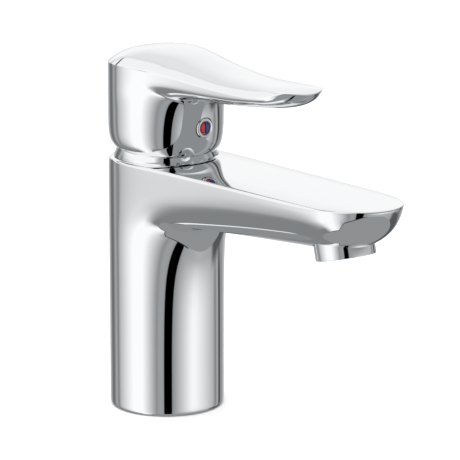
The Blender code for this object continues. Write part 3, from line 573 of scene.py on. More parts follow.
@dataclass
class Casting:
    """A round cup whose upper front is drawn out into an arm, all under one crisp edge.

    The cup starts as a cylinder of sixteen sides. The faces of its front half are extruded once for
    each station, and every new loop is set out on the casting's own lines before it is smoothed.
    """

    radius: float
    reach: float
    edge_radius: float
    nose_radius: float
    fullness: float
    levels: int = 4
    band_rows: int = 3
    section_drop: float = math.radians(22.0)

    COLUMNS: ClassVar[int] = 16
    FRONT: ClassVar[int] = 8

    @property
    def cage_radius(self) -> float:
        """Radius of the corners whose smoothed ring has the casting's own radius."""
        return self.radius * 6.0 / (4.0 + 2.0 * math.cos(math.tau / self.COLUMNS))

    def edge(self, reach: float) -> float:
        """Height of the crisp edge at a reach."""
        raise NotImplementedError

    def crown(self, reach: float) -> float:
        """Rise of the top's middle over its edges at a reach."""
        raise NotImplementedError

    def keel(self, reach: float) -> float:
        """Height of the arm's lowest line at a reach."""
        raise NotImplementedError

    def rows(self) -> list[Row]:
        """The rows of the cup up to the band's foot."""
        raise NotImplementedError

    def stations(self) -> list[Station]:
        """The arm's sections, the nose's start last."""
        raise NotImplementedError

    def narrowed(self, by: float) -> float:
        """The cup's radius less some millimetres, as an arm's half width."""
        return self.radius - by * MM

    def angle(self, column: int) -> float:
        """Direction of a column, 0 at the front and positive towards +X."""
        return math.tau * column / self.COLUMNS - math.pi / 2

    def width_at(self, reach: float) -> float:
        """Half width of the top at a reach, straight between stations."""
        before = (0.0, self.cage_radius)
        for station in self.stations():
            if reach <= station.start:
                share = (reach - before[0]) / (station.start - before[0])
                return mix(before[1], station.half_width, share)
            before = (station.start, station.half_width)
        return before[1]

    def top_height(self, x: float, reach: float, half_width: float) -> float:
        """Height of the crowned top: a bowl behind the axis, a barrel along the arm."""
        away = (x * x + reach * reach) / self.cage_radius**2 if reach <= 0.0 else (x / half_width) ** 2
        return self.edge(reach) + self.crown(max(reach, 0.0)) * (1.0 - min(away, 1.0) ** self.fullness)

    def rim_point(self, half_width: float, start: float, bow: float, turn: float, nose: bool) -> Vector:
        """A point of the top row of a section that bows forward from start."""
        x = half_width * math.sin(turn)
        reach = start + bow * math.cos(turn)
        local = half_width if nose else self.width_at(reach)
        return Vector((x, -reach, self.top_height(x, reach, local)))

    def keel_point(self, station: Station, column: int) -> Vector:
        """A point of the bottom row of a section."""
        turn = mix(self.section_drop - math.pi / 2, math.pi / 2 - self.section_drop, column / self.FRONT)
        x = station.half_width * math.copysign(station.full(abs(math.sin(turn))), math.sin(turn))
        flat = station.half_width * station.full(math.cos(self.section_drop))
        reach = station.start + station.bow_low * (1.0 - (x / flat) ** 2)
        depth = self.edge(station.start) - self.keel(reach)
        return Vector((x, -reach, self.edge(station.start) - depth * station.full(math.cos(turn))))

    def side_point(self, station: Station, row: int, side: float) -> Vector:
        """A point of the side of a section, row 0 at the bottom."""
        turn = self.section_drop * (self.band_rows - row) / self.band_rows
        lowest = self.edge(station.start) - self.keel(station.start + station.bow_low)
        height = self.edge(station.start) - lowest * station.full(math.sin(turn))
        return Vector((side * station.half_width * station.full(math.cos(turn)), -station.start, height))

    def section_point(self, station: Station, row: int, column: int, nose: bool) -> Vector:
        """Where one corner of the band's grid stands at a station.

        Args:
            station: the section.
            row: 0 at the bottom to band_rows at the crisp edge.
            column: 0 on the left side to FRONT on the right.
            nose: whether this is the last station, whose grid closes the arm.

        Returns:
            The corner's place.
        """
        if column in (0, self.FRONT):
            return self.side_point(station, row, -1.0 if column == 0 else 1.0)
        top = self.rim_point(station.half_width, station.start, station.bow_top, self.angle(column), nose)
        if row == self.band_rows:
            return top
        low = self.keel_point(station, column)
        if row == 0:
            return low
        turn = math.pi / 2 * (self.band_rows - row) / self.band_rows
        return Vector(
            (
                mix(low.x, top.x, math.cos(turn) ** 1.2),
                mix(low.y, top.y, station.full(math.cos(turn))),
                mix(top.z, low.z, station.full(math.sin(turn))),
            )
        )

    def build(self, name: str) -> bpy.types.Object:
        """Makes the smoothed casting.

        Args:
            name: the piece's name.

        Returns:
            The closed, smooth outer form.
        """
        foot, head = self.rows()[0].height, self.edge(0.0)
        deselect()
        middle = (0.0, 0.0, (head + foot) / 2)
        bpy.ops.mesh.primitive_cylinder_add(
            vertices=self.COLUMNS, radius=self.cage_radius, depth=head - foot, location=middle
        )
        piece = take_new(name)
        settle(piece)
        self.cut_rows(piece)
        self.number_corners(piece)
        for count, station in enumerate(self.stations(), start=1):
            self.extrude_station(piece, station, count == len(self.stations()))
        self.close_top(piece)
        self.break_edges(piece)
        apply_modifier(piece, "SUBSURF", levels=self.levels, render_levels=self.levels)
        shade(piece, 60.0)
        return piece

    def cut_rows(self, piece: bpy.types.Object) -> None:
        """Bisects the cylinder at every row of the cup and of the band."""
        edit(piece)
        band_foot = self.rows()[-1].height
        heights = [row.height for row in self.rows()[1:]]
        heights += [mix(band_foot, self.edge(0.0), i / self.band_rows) for i in range(1, self.band_rows)]
        for height in heights:
            bpy.ops.mesh.select_all(action="SELECT")
            bpy.ops.mesh.bisect(plane_co=(0.0, 0.0, height), plane_no=(0.0, 0.0, 1.0))
        deselect()

    def number_corners(self, piece: bpy.types.Object) -> None:
        """Writes each corner's row and column on it, and sets the cup out on its own radii and leans."""
        shape = edit(piece)
        row_of = shape.verts.layers.int.new("row")
        column_of = shape.verts.layers.int.new("column")
        heights = sorted({round(vert.co.z, 6) for vert in shape.verts})
        band = len(self.rows()) - 1
        for vert in shape.verts:
            row = heights.index(round(vert.co.z, 6))
            turn = math.atan2(vert.co.x, -vert.co.y)
            column = round((turn + math.pi / 2) / math.tau * self.COLUMNS) % self.COLUMNS
            vert[row_of], vert[column_of] = row, column
            turn = self.angle(column)
            if row <= band:
                level = self.rows()[row]
                scale = level.radius / self.radius * self.cage_radius
                reach = scale * math.cos(turn) + level.bulge * max(math.cos(turn), 0.0) ** 4
                height = level.height - reach * math.tan(level.lean)
                vert.co = Vector((scale * math.sin(turn), -reach, height))
            elif not 0 < column < self.FRONT:
                reach = self.cage_radius * math.cos(turn)
                top = self.edge(min(reach, 0.0))
                height = mix(self.rows()[-1].height, top, (row - band) / self.band_rows)
                vert.co = Vector((self.cage_radius * math.sin(turn), -reach, height))
            elif row == band + self.band_rows:
                vert.co = self.rim_point(self.cage_radius, 0.0, self.cage_radius, turn, False)
        bmesh.update_edit_mesh(piece.data)
        for face in shape.faces:
            rows = [vert[row_of] for vert in face.verts]
            columns = [vert[column_of] for vert in face.verts]
            on_band = min(rows) >= band and max(rows) > min(rows)
            face.select_set(on_band and max(columns) <= self.FRONT and len(face.verts) == 4)
        bmesh.update_edit_mesh(piece.data)
        bpy.ops.object.mode_set(mode="OBJECT")

    def extrude_station(self, piece: bpy.types.Object, station: Station, nose: bool) -> None:
        """Extrudes the band's faces once and sets the new corners out on the station's section."""
        bpy.context.view_layer.objects.active = piece
        piece.select_set(True)
        bpy.ops.object.mode_set(mode="EDIT")
        bpy.ops.mesh.select_mode(type="FACE")
        step = (0.0, -0.5 * MM, 0.0)
        bpy.ops.mesh.extrude_region_move(TRANSFORM_OT_translate={"value": step})
        shape = bmesh.from_edit_mesh(piece.data)
        row_of = shape.verts.layers.int["row"]
        column_of = shape.verts.layers.int["column"]
        band = len(self.rows()) - 1
        for vert in shape.verts:
            if vert.select:
                vert.co = self.section_point(station, vert[row_of] - band, vert[column_of], nose)
        bmesh.update_edit_mesh(piece.data)
        bpy.ops.object.mode_set(mode="OBJECT")

    def close_top(self, piece: bpy.types.Object) -> None:
        """Insets the round top twice and fills the middle with a square of sixteen faces."""
        shape = edit(piece)
        shape.faces.ensure_lookup_table()
        caps = [face for face in shape.faces if len(face.verts) == self.COLUMNS]
        top = max(caps, key=lambda cap: cap.calc_center_median().z)
        ring = self.in_order(top.verts)
        bmesh.ops.delete(shape, geom=[top], context="FACES_ONLY")
        for share in (0.84, 0.6):
            inner = [shape.verts.new(self.on_top(share, self.angle(i))) for i in range(self.COLUMNS)]
            for i in range(self.COLUMNS):
                after = (i + 1) % self.COLUMNS
                shape.faces.new((ring[i], ring[after], inner[after], inner[i]))
            ring = inner
        self.fill_square(shape, ring)
        bmesh.update_edit_mesh(piece.data)
        bpy.ops.mesh.select_all(action="SELECT")
        bpy.ops.mesh.normals_make_consistent(inside=False)
        deselect()

    def in_order(self, corners: Iterable[bmesh.types.BMVert]) -> list[bmesh.types.BMVert]:
        """The corners of a ring by column."""

        def column(vert: bmesh.types.BMVert) -> float:
            turn = math.atan2(vert.co.x, -vert.co.y) + math.pi / 2
            return round(turn / math.tau * self.COLUMNS) % self.COLUMNS

        return sorted(corners, key=column)

    def on_top(self, share: float, turn: float) -> Vector:
        """A point of the round top at a share of its radius."""
        x = self.cage_radius * share * math.sin(turn)
        reach = self.cage_radius * share * math.cos(turn)
        return Vector((x, -reach, self.top_height(x, reach, self.width_at(reach))))

    def fill_square(self, shape: bmesh.types.BMesh, ring: Sequence[bmesh.types.BMVert]) -> None:
        """Sixteen faces inside a ring of sixteen corners, so that no fan of faces meets in a point."""
        side = self.COLUMNS // 4
        first = self.COLUMNS // 8
        corner = [ring[(first + i) % self.COLUMNS] for i in range(self.COLUMNS)]
        grid = {}
        for i in range(side):
            grid[(i, 0)] = corner[i]
            grid[(side, i)] = corner[side + i]
            grid[(side - i, side)] = corner[2 * side + i]
            grid[(0, side - i)] = corner[3 * side + i]
        for i in range(1, side):
            for j in range(1, side):
                across = grid[(0, j)].co.lerp(grid[(side, j)].co, i / side)
                along = grid[(i, 0)].co.lerp(grid[(i, side)].co, j / side)
                spot = (across + along) / 2
                spot.z = self.top_height(spot.x, -spot.y, self.width_at(-spot.y))
                grid[(i, j)] = shape.verts.new(spot)
        for i in range(side):
            for j in range(side):
                shape.faces.new((grid[(i, j)], grid[(i + 1, j)], grid[(i + 1, j + 1)], grid[(i, j + 1)]))

    def break_edges(self, piece: bpy.types.Object) -> None:
        """Rounds the crisp edge and the foot's edge a little, and the nose's edge by its own radius."""
        shape = edit(piece)
        weight = shape.edges.layers.float.new("bevel_weight_edge")
        for edge in shape.edges:
            if edge.calc_face_angle(0.0) > math.radians(20.0):
                edge[weight] = self.edge_share(edge, shape)
        bmesh.update_edit_mesh(piece.data)
        deselect()
        widest = max(self.edge_radius, self.nose_radius)
        apply_modifier(piece, "BEVEL", width=widest, segments=2, limit_method="WEIGHT")

    def edge_share(self, edge: bmesh.types.BMEdge, shape: bmesh.types.BMesh) -> float:
        """How much of the widest rounding an edge takes.

        Args:
            edge: an edge of the cage.
            shape: the cage, whose corners know their row and column.

        Returns:
            0 for an edge that stays as it is, 1 for the widest.
        """
        row_of, column_of = (shape.verts.layers.int[name] for name in ("row", "column"))
        widest = max(self.edge_radius, self.nose_radius)
        rows = {vert[row_of] for vert in edge.verts}
        columns = [vert[column_of] for vert in edge.verts]
        if rows == {0} and all(vert.co.z < self.rows()[0].height + 0.2 * self.radius for vert in edge.verts):
            return self.edge_radius / widest
        if rows != {len(self.rows()) - 1 + self.band_rows}:
            return 0.0
        nose = self.stations()[-1].start
        if all(-vert.co.y > nose - 0.001 * MM for vert in edge.verts):
            inner = min(min(column, self.FRONT - column) for column in columns)
            return mix(self.edge_radius, self.nose_radius, min(inner / 2.0, 1.0)) / widest
        on_side = all(not 0 < column < self.FRONT for column in columns)
        return self.edge_radius / widest if on_side and set(columns) != {0, self.FRONT} else 0.0


@dataclass
class SpoutBody(Casting):
    """The column and spout in one casting, with its chamber, waterway, inlets and hollow base."""

    height: float = 106.4 * MM
    depth: float = 24.1 * MM
    skirt_wall: float = 4.0 * MM
    skirt_depth: float = 24.0 * MM
    rebate: float = 2.0 * MM
    inlet_radius: float = 5.0 * MM
    inlet_spread: float = 9.0 * MM
    inlet_depth: float = 14.0 * MM
    stud_radius: float = 4.2 * MM
    stud_reach: float = -11.5 * MM
    fit: float = 0.3 * MM

    def edge(self, reach: float) -> float:
        """Height of the crisp edge: level behind, sinking a little towards the nose."""
        return self.height - 1.8 * MM * (max(reach, 0.0) / self.reach) ** 1.6

    def crown(self, reach: float) -> float:
        """Low crown of the top, flatter towards the nose."""
        return mix(1.0, 1.5, min(reach / self.radius, 1.0)) * MM * (1.0 - 0.35 * reach / self.reach)

    def keel(self, reach: float) -> float:
        """Lowest line under the spout, rising beyond the column."""
        rise = max(reach - 2 * self.radius, 0.0) / self.reach
        return self.height - self.depth + 9.0 * MM * rise**1.5

    def rows(self) -> list[Row]:
        """Rows of the column; their spacing and their bulge set the round under the spout."""
        band_foot = self.keel(self.radius) - 3.0 * MM
        plain = [Row(band_foot * share, self.radius) for share in (0.0, 0.04, 0.35)]
        round_rows = ((0.68, 0.4), (0.86, 2.4), (1.0, 6.5))
        return plain + [Row(band_foot * share, self.radius, 0.0, bulge * MM) for share, bulge in round_rows]

    def stations(self) -> list[Station]:
        """The spout's sections."""
        nose = self.reach - 27.3 * MM
        first = 34.0 * MM
        return [
            Station(14.0 * MM, self.narrowed(-0.2), 17.0 * MM, 26.0 * MM, 4.6),
            Station(first, self.narrowed(0.7), 11.0 * MM, 18.0 * MM, 3.2),
            Station(mix(first, nose, 0.34), self.narrowed(1.4), 6.0 * MM, 8.0 * MM, 2.4),
            Station(mix(first, nose, 0.70), self.narrowed(2.0), 8.0 * MM, 2.0 * MM, 2.1),
            Station(nose, self.narrowed(2.8), self.reach - nose, 0.0),
        ]

    def make(self) -> bpy.types.Object:
        """Builds, hollows and dresses the casting."""
        piece = self.build("spout_body")
        self.open_base(piece)
        self.open_chamber(piece)
        self.open_outlet(piece)
        shade(piece, 40.0)
        dress(piece, CHROME)
        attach(piece, "fixture")
        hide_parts("body")
        return piece

    def open_base(self, piece: bpy.types.Object) -> None:
        """Cuts the hollow base with its seal rebate, the two inlets and the stud's hole."""
        hollow = self.radius - self.skirt_wall
        rebate = hollow + self.rebate
        below = -1.0 * MM
        profile = [
            (0.0, self.skirt_depth),
            (hollow, self.skirt_depth),
            (hollow, self.rebate),
            (rebate, self.rebate),
            (rebate, below),
            (0.0, below),
        ]
        cut(piece, spun("skirt_tool", profile, 96))
        over = self.skirt_depth - 1.0 * MM
        top = self.skirt_depth + self.inlet_depth
        for side in (-1.0, 1.0):
            x = side * self.inlet_spread
            cut(piece, bar("inlet_tool", (x, 0.0, over), (x, 0.0, top), self.inlet_radius))
        y = -self.stud_reach
        cut(piece, bar("stud_tool", (0.0, y, over), (0.0, y, top + 2.0 * MM), self.stud_radius))

    def open_chamber(self, piece: bpy.types.Object) -> None:
        """Bores the chamber that the cartridge and its nut sit in, from the frame's own pieces."""
        shell_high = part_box("cartridge_housing")[1]
        foot_low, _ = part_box("cartridge_foot")
        nut_low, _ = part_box("cartridge_nut")
        ring_low, ring_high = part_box("dome_ring")
        nut_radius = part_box("cartridge_nut")[1].x + self.fit
        bore = shell_high.x + self.fit
        seat = ring_low.z - self.fit
        profile = [
            (0.0, self.height + 10.0 * MM),
            (ring_high.x + self.fit, self.height + 10.0 * MM),
            (ring_high.x + self.fit, seat),
            (nut_radius, seat),
            (nut_radius, nut_low.z - self.fit),
            (bore, nut_low.z - self.fit),
            (bore, foot_low.z - self.fit),
            (0.0, foot_low.z - self.fit),
        ]
        cut(piece, spun("chamber_tool", profile, 96))

    def open_outlet(self, piece: bpy.types.Object) -> None:
        """Bores the seat of the aerator on its leaning axis, and the waterway over it."""
        outlet = Aerator.from_frame()
        radius = outlet.radius + self.fit
        start = outlet.centre - outlet.up * 10.0 * MM
        end = outlet.centre + outlet.up * (outlet.height + self.fit)
        cut(piece, bar("outlet_tool", tuple(start), tuple(end), radius, 96))
        half = 11.0 * MM
        low = (-half, -(outlet.reach - 3.0 * MM), self.height - 19.0 * MM)
        high = (half, -(self.radius + 4.0 * MM), self.height - 6.5 * MM)
        tool = box_between("waterway_tool", low, high)
        apply_modifier(tool, "BEVEL", width=4.0 * MM, segments=4)
        cut(piece, tool)


@dataclass
class LeverHandle(Casting):
    """The handle: a round skirt, a crowned top and a lever under one crisp edge."""

    top: float = 146.0 * MM
    rim: float = 110.9 * MM
    rim_radius: float = 21.6 * MM
    rim_lean: float = math.radians(3.5)
    depth: float = 11.2 * MM
    wall: float = 3.6 * MM
    cavity_top: float = 140.0 * MM
    boss: float = 15.0 * MM

    def edge(self, reach: float) -> float:
        """Height of the crisp edge: sinks along the lever and turns up at the tip."""
        along = max(reach, 0.0) / self.reach
        fall = 4.6 * along + 2.5 * self.ease(reach) - 3.5 * along**4
        return self.top + (0.8 - fall + min(reach, 0.0) / self.radius * 0.8) * MM

    def ease(self, reach: float) -> float:
        """A share that rises smoothly from 0 over the skirt to 1 beyond the middle of the lever."""
        along = min(max(reach, 0.0) / (0.62 * self.reach), 1.0)
        return along * along * (3.0 - 2.0 * along)

    def crown(self, reach: float) -> float:
        """High crown over the skirt that dies away along the lever."""
        tip = max(reach / self.reach - 0.88, 0.0) / 0.12
        return mix(6.0, 4.2, self.ease(reach)) * MM * (1.0 - 0.75 * tip * tip)

    def keel(self, reach: float) -> float:
        """Lowest line under the lever, turning up towards the tip."""
        along = max(reach - self.radius, 0.0) / self.reach
        return self.top - self.depth + 10.0 * MM * along**2.6

    def rows(self) -> list[Row]:
        """Rows of the skirt, which draws in towards its leaning rim."""
        band_foot = self.keel(self.radius) - 1.0 * MM
        bulge = mix(self.rim_radius, self.radius, 0.66)
        straight = self.rim + 6.5 * MM
        return [
            Row(self.rim, self.rim_radius, self.rim_lean),
            Row(self.rim + 2.2 * MM, bulge, self.rim_lean * 0.6),
            Row(straight, self.radius),
            Row(mix(straight, band_foot, 0.5), self.radius, 0.0, 0.5 * MM),
            Row(band_foot, self.radius, 0.0, 2.5 * MM),
        ]

    def stations(self) -> list[Station]:
        """The lever's sections."""
        nose = self.reach - 20.0 * MM
        first = 24.0 * MM
        return [
            Station(11.0 * MM, self.narrowed(2.4), 18.0 * MM, 20.0 * MM, 3.6),
            Station(first, self.narrowed(4.9), 12.0 * MM, 13.0 * MM, 3.2),
            Station(mix(first, nose, 0.35), self.narrowed(6.6), 6.0 * MM, 5.0 * MM, 3.0),
            Station(mix(first, nose, 0.70), self.narrowed(7.5), 4.0 * MM, 0.0, 2.6),
            Station(nose - 5.0 * MM, self.narrowed(7.9), 15.0 * MM, 0.0, 2.3),
            Station(nose, self.narrowed(8.4), self.reach - nose, 0.0),
        ]

    def make(self, index: "IndexButton", dome: "DomeRing") -> bpy.types.Object:
        """Builds, hollows and dresses the handle.

        Args:
            index: the button whose bore goes through the skirt.
            dome: the ring that the rim glides round.

        Returns:
            The finished handle.
        """
        piece = self.build("lever_handle")
        cut(piece, self.cavity(dome))
        reach = self.radius + 2.0 * MM
        back = self.radius - index.depth
        outer = (0.0, -reach, index.height)
        cut(piece, bar("index_tool", outer, (0.0, -back, index.height), index.radius + index.fit, 64))
        cut(piece, bar("grub_tool", (0.0, -back - MM, index.height), (0.0, 0.0, index.height), 2.8 * MM, 24))
        shade(piece, 40.0)
        dress(piece, CHROME)
        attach(piece, "lever")
        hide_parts("handle")
        return piece

    def cavity(self, dome: "DomeRing") -> bpy.types.Object:
        """The skirt's hollow: round the pivot near the rim, straight above, without the spindle's boss."""
        clear = dome.radius + 0.4 * MM
        low = self.rim - dome.pivot - 3.4 * MM
        high = self.rim - dome.pivot + 1.6 * MM
        arc = [mix(high, low, i / 10) for i in range(11)]
        straight = self.radius - self.wall
        roof = self.cavity_top - dome.pivot
        profile = [(0.0, roof), (straight, roof)]
        profile += [(math.sqrt(clear**2 - h * h), h) for h in arc]
        profile.append((0.0, low))
        tool = spun("cavity_tool", profile, 96, (0.0, 0.0, dome.pivot))
        half = self.boss / 2
        above = self.cavity_top + 5.0 * MM
        spindle_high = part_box("spindle")[1]
        boss = box_between("boss_tool", (-half, -half, self.rim + 2.4 * MM), (half, half, above))
        side = spindle_high.x + 0.3 * MM
        socket = box_between("socket_tool", (-side, -side, self.rim), (side, side, spindle_high.z + 0.3 * MM))
        cut(boss, socket)
        cut(tool, boss)
        rib_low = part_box("index_plug")[0].z - 1.6 * MM
        rib_side = half * 0.7
        rib_start = (-rib_side, -self.radius - 4.0 * MM, rib_low)
        rib = box_between("rib_tool", rib_start, (rib_side, -half + MM, above))
        cut(tool, rib)
        return tool


@dataclass
class DomeRing:
    """The chrome zone of a sphere that shows in the gap under the handle."""

    radius: float
    pivot: float
    wall: float = 1.6 * MM

    @classmethod
    def from_frame(cls, pivot: float) -> "DomeRing":
        """Reads the ring's sphere off the frame: its foot corner lies on the sphere about the pivot."""
        low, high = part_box("dome_ring")
        return cls(math.hypot(high.x, low.z + 1.2 * MM - pivot), pivot)

    def make(self) -> bpy.types.Object:
        """Spins, dresses and places the ring."""
        low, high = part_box("dome_ring")
        foot, head = low.z - self.pivot, high.z - self.pivot
        shoulder = foot + 1.2 * MM
        steps = 14
        heights = [mix(head, shoulder, i / steps) for i in range(steps + 1)]
        outer = [(math.sqrt(self.radius**2 - h * h), h) for h in heights]
        inside = self.radius - self.wall
        inner = [(math.sqrt(inside**2 - h * h), h) for h in reversed(heights)]
        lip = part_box("cartridge_nut")[1].x - 0.8 * MM
        profile = [*outer, (outer[-1][0], foot), (lip, foot), *inner[:-1], (inner[-1][0] - 0.6 * MM, head)]
        piece = spun("dome_cover", profile, 128, (0.0, 0.0, self.pivot))
        shade(piece, 35.0)
        dress(piece, CHROME)
        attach(piece, "fixture")
        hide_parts("dome_ring")
        return piece


@dataclass
class IndexButton:
    """The round button in the skirt with a red and a blue half under clear enamel."""

    height: float
    radius: float
    face: float
    depth: float
    fit: float = 0.3 * MM

    @classmethod
    def from_frame(cls, skirt: float) -> "IndexButton":
        """Reads the button's place and size off the frame."""
        low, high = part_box("index_plug")
        radius = (high.x - low.x) / 2
        return cls((low.z + high.z) / 2, radius, -low.y, skirt + high.y + 0.3 * MM)

    def make(self) -> list[bpy.types.Object]:
        """Makes the ring and its two marks."""
        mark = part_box("index_hot")[1].z - self.height
        back = -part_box("index_plug")[1].y
        floor = self.face - 1.0 * MM
        length = self.face - back
        recess = self.face - floor
        rim = mark + self.fit
        profile = rounded(
            [
                (0.0, length - recess),
                (rim, length - recess),
                (rim, length - 0.2 * MM),
                (self.radius - 0.4 * MM, length),
                (self.radius, length - 0.5 * MM),
                (self.radius, 0.0),
                (0.0, 0.0),
            ],
            0.25 * MM,
        )
        ring = spun("index_button", profile, 64)
        self.stand_up(ring, back)
        dress(ring, INDEX_RING)
        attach(ring, "lever")
        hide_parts("index_plug")
        made = [ring]
        for name, node_name, side, finish in (
            ("red_mark", "index_hot", -1.0, INDEX_RED),
            ("blue_mark", "index_cold", 1.0, INDEX_BLUE),
        ):
            made.append(self.mark(name, node_name, side, finish, mark, floor))
        return made

    def stand_up(self, piece: bpy.types.Object, back: float) -> None:
        """Turns a piece that was spun upright to face forward, and puts its back at a reach."""
        piece.rotation_euler = (math.radians(90.0), 0.0, 0.0)
        piece.location = (0.0, -back, self.height)
        settle(piece)
        shade(piece, 35.0)

    def mark(
        self, name: str, node_name: str, side: float, finish: Finish, radius: float, floor: float
    ) -> bpy.types.Object:
        """One half disc, a little domed.

        Args:
            name: the piece's name.
            node_name: the CAD node that it stands for.
            side: -1 for the left half, 1 for the right.
            finish: its colour.
            radius: the disc's radius.
            floor: the reach of the recess's floor.

        Returns:
            The finished mark.
        """
        start = floor + self.fit
        height = self.face - start
        dome = [(radius * math.sin(a), height - 0.25 * MM * (1 - math.cos(a))) for a in (0.0, 0.4, 0.8, 1.1)]
        profile = [*dome, (radius, height - 0.3 * MM), (radius, 0.0), (0.0, 0.0)]
        piece = spun(name, profile, 64)
        self.stand_up(piece, start)
        away = radius * 2.0
        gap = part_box("index_cold")[0].x
        low_x, high_x = (-gap, away) if side < 0 else (-away, gap)
        tool = box_between(
            "half_tool",
            (low_x, -self.face - MM, self.height - away),
            (high_x, -floor + MM, self.height + away),
        )
        cut(piece, tool)
        apply_modifier(piece, "BEVEL", width=0.12 * MM, segments=2, limit_method="ANGLE")
        shade(piece, 35.0)
        dress(piece, finish)
        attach(piece, "lever")
        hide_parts(node_name)
        return piece


@dataclass
class Aerator:
    """The collar under the nose and the jet plate inside it, on an axis that leans forward."""

    centre: Vector
    up: Vector
    radius: float
    height: float
    lean: float = math.radians(13.0)

    @classmethod
    def from_frame(cls) -> "Aerator":
        """Reads the outlet's centre from its mount and the collar's size from its node."""
        mount = next(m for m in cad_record["mounts"] if m["name"] == "aerator_face")
        centre = Vector((0.0, *mount["pos_m"][1:]))
        up = -Vector(mount["axis"])
        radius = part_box("aerator_housing")[1].x
        height = max((Vector(v.co) - centre).dot(up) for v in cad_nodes["aerator_seal"].data.vertices)
        return cls(centre, up, radius, height + 0.2 * MM)

    @property
    def reach(self) -> float:
        """How far in front of the column's axis the outlet is."""
        return -self.centre.y

    def lean_over(self, piece: bpy.types.Object) -> None:
        """Puts a piece that was spun about the origin on the leaning axis."""
        piece.rotation_euler = (-self.lean, 0.0, 0.0)
        piece.location = self.centre
        settle(piece)
        shade(piece, 35.0)

    def make(self) -> list[bpy.types.Object]:
        """Makes the collar and the jet plate."""
        return [self.collar(), self.jet_plate()]

    def collar(self) -> bpy.types.Object:
        """The turned collar, its outer edges rounded and a shallow groove over its lip."""
        wall = 1.7 * MM
        inner = self.radius - wall
        lip = inner - 1.2 * MM
        top = self.height - 2.0 * MM
        profile = rounded(
            [
                (inner, top - 1.0 * MM),
                (inner, top),
                (self.radius - 0.4 * MM, top),
                (self.radius, top - 0.6 * MM),
                (self.radius, 0.0),
                (self.radius - 0.9 * MM, -0.0),
                (lip, 0.0),
                (lip, 1.2 * MM),
                (inner, 1.2 * MM),
                (inner, 2.2 * MM),
            ],
            0.35 * MM,
        )
        piece = spun("aerator_collar", profile, 96)
        self.lean_over(piece)
        dress(piece, CHROME)
        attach(piece, "fixture")
        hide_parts("aerator_housing")
        return piece

    def jet_plate(self) -> bpy.types.Object:
        """The plastic plate: a disc with two rings of small round jets cut into its face."""
        radius = self.radius - 2.0 * MM
        low = 1.5 * MM
        high = self.height - 5.4 * MM
        profile = rounded([(0.0, high), (radius, high), (radius, low), (0.0, low)], 0.3 * MM)
        piece = spun("jet_plate", profile, 64)
        for count, ring in ((6, 0.34), (12, 0.66)):
            for number in range(count):
                turn = math.tau * number / count
                x, y = ring * radius * math.cos(turn), ring * radius * math.sin(turn)
                cut(piece, bar("jet_tool", (x, y, low - MM), (x, y, low + 1.4 * MM), 1.1 * MM, 12))
        self.lean_over(piece)
        dress(piece, SHELL)
        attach(piece, "fixture")
        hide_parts("aerator_insert")
        return piece


@dataclass
class InnerWorks:
    """The CAD pieces whose shape is right as it is: they get their finishes."""

    replaced: set[str] = field(default_factory=set)

    def make(self) -> list[str]:
        """Dresses every node that no new piece stands for.

        Returns:
            The names of the nodes that were dressed.
        """
        slots = {part["node"]: part["material_slot"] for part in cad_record["subparts"]}
        done = []
        for name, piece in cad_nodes.items():
            if name in self.replaced:
                continue
            piece.data.materials.clear()
            piece.data.materials.append(FINISHES[slots[name]].material())
            done.append(name)
        return done


# ---------------------------------------------------------------------------------------------------
# The studio
# ---------------------------------------------------------------------------------------------------


@dataclass(frozen=True)
class Panel:
    """One upright light or flag of the studio, by azimuth from the camera in degrees, left negative.

    Its light rises from start, is full from near to far, and has fallen away again at end.
    """

    start: float
    near: float
    far: float
    end: float
    value: float

    def over(self, around: Sock) -> Sock:
        """The panel's light over an azimuth."""
        rise = ramp(around, self.start, self.near)
        fall = ramp(around, self.end, self.far)
        return rise * fall * self.value


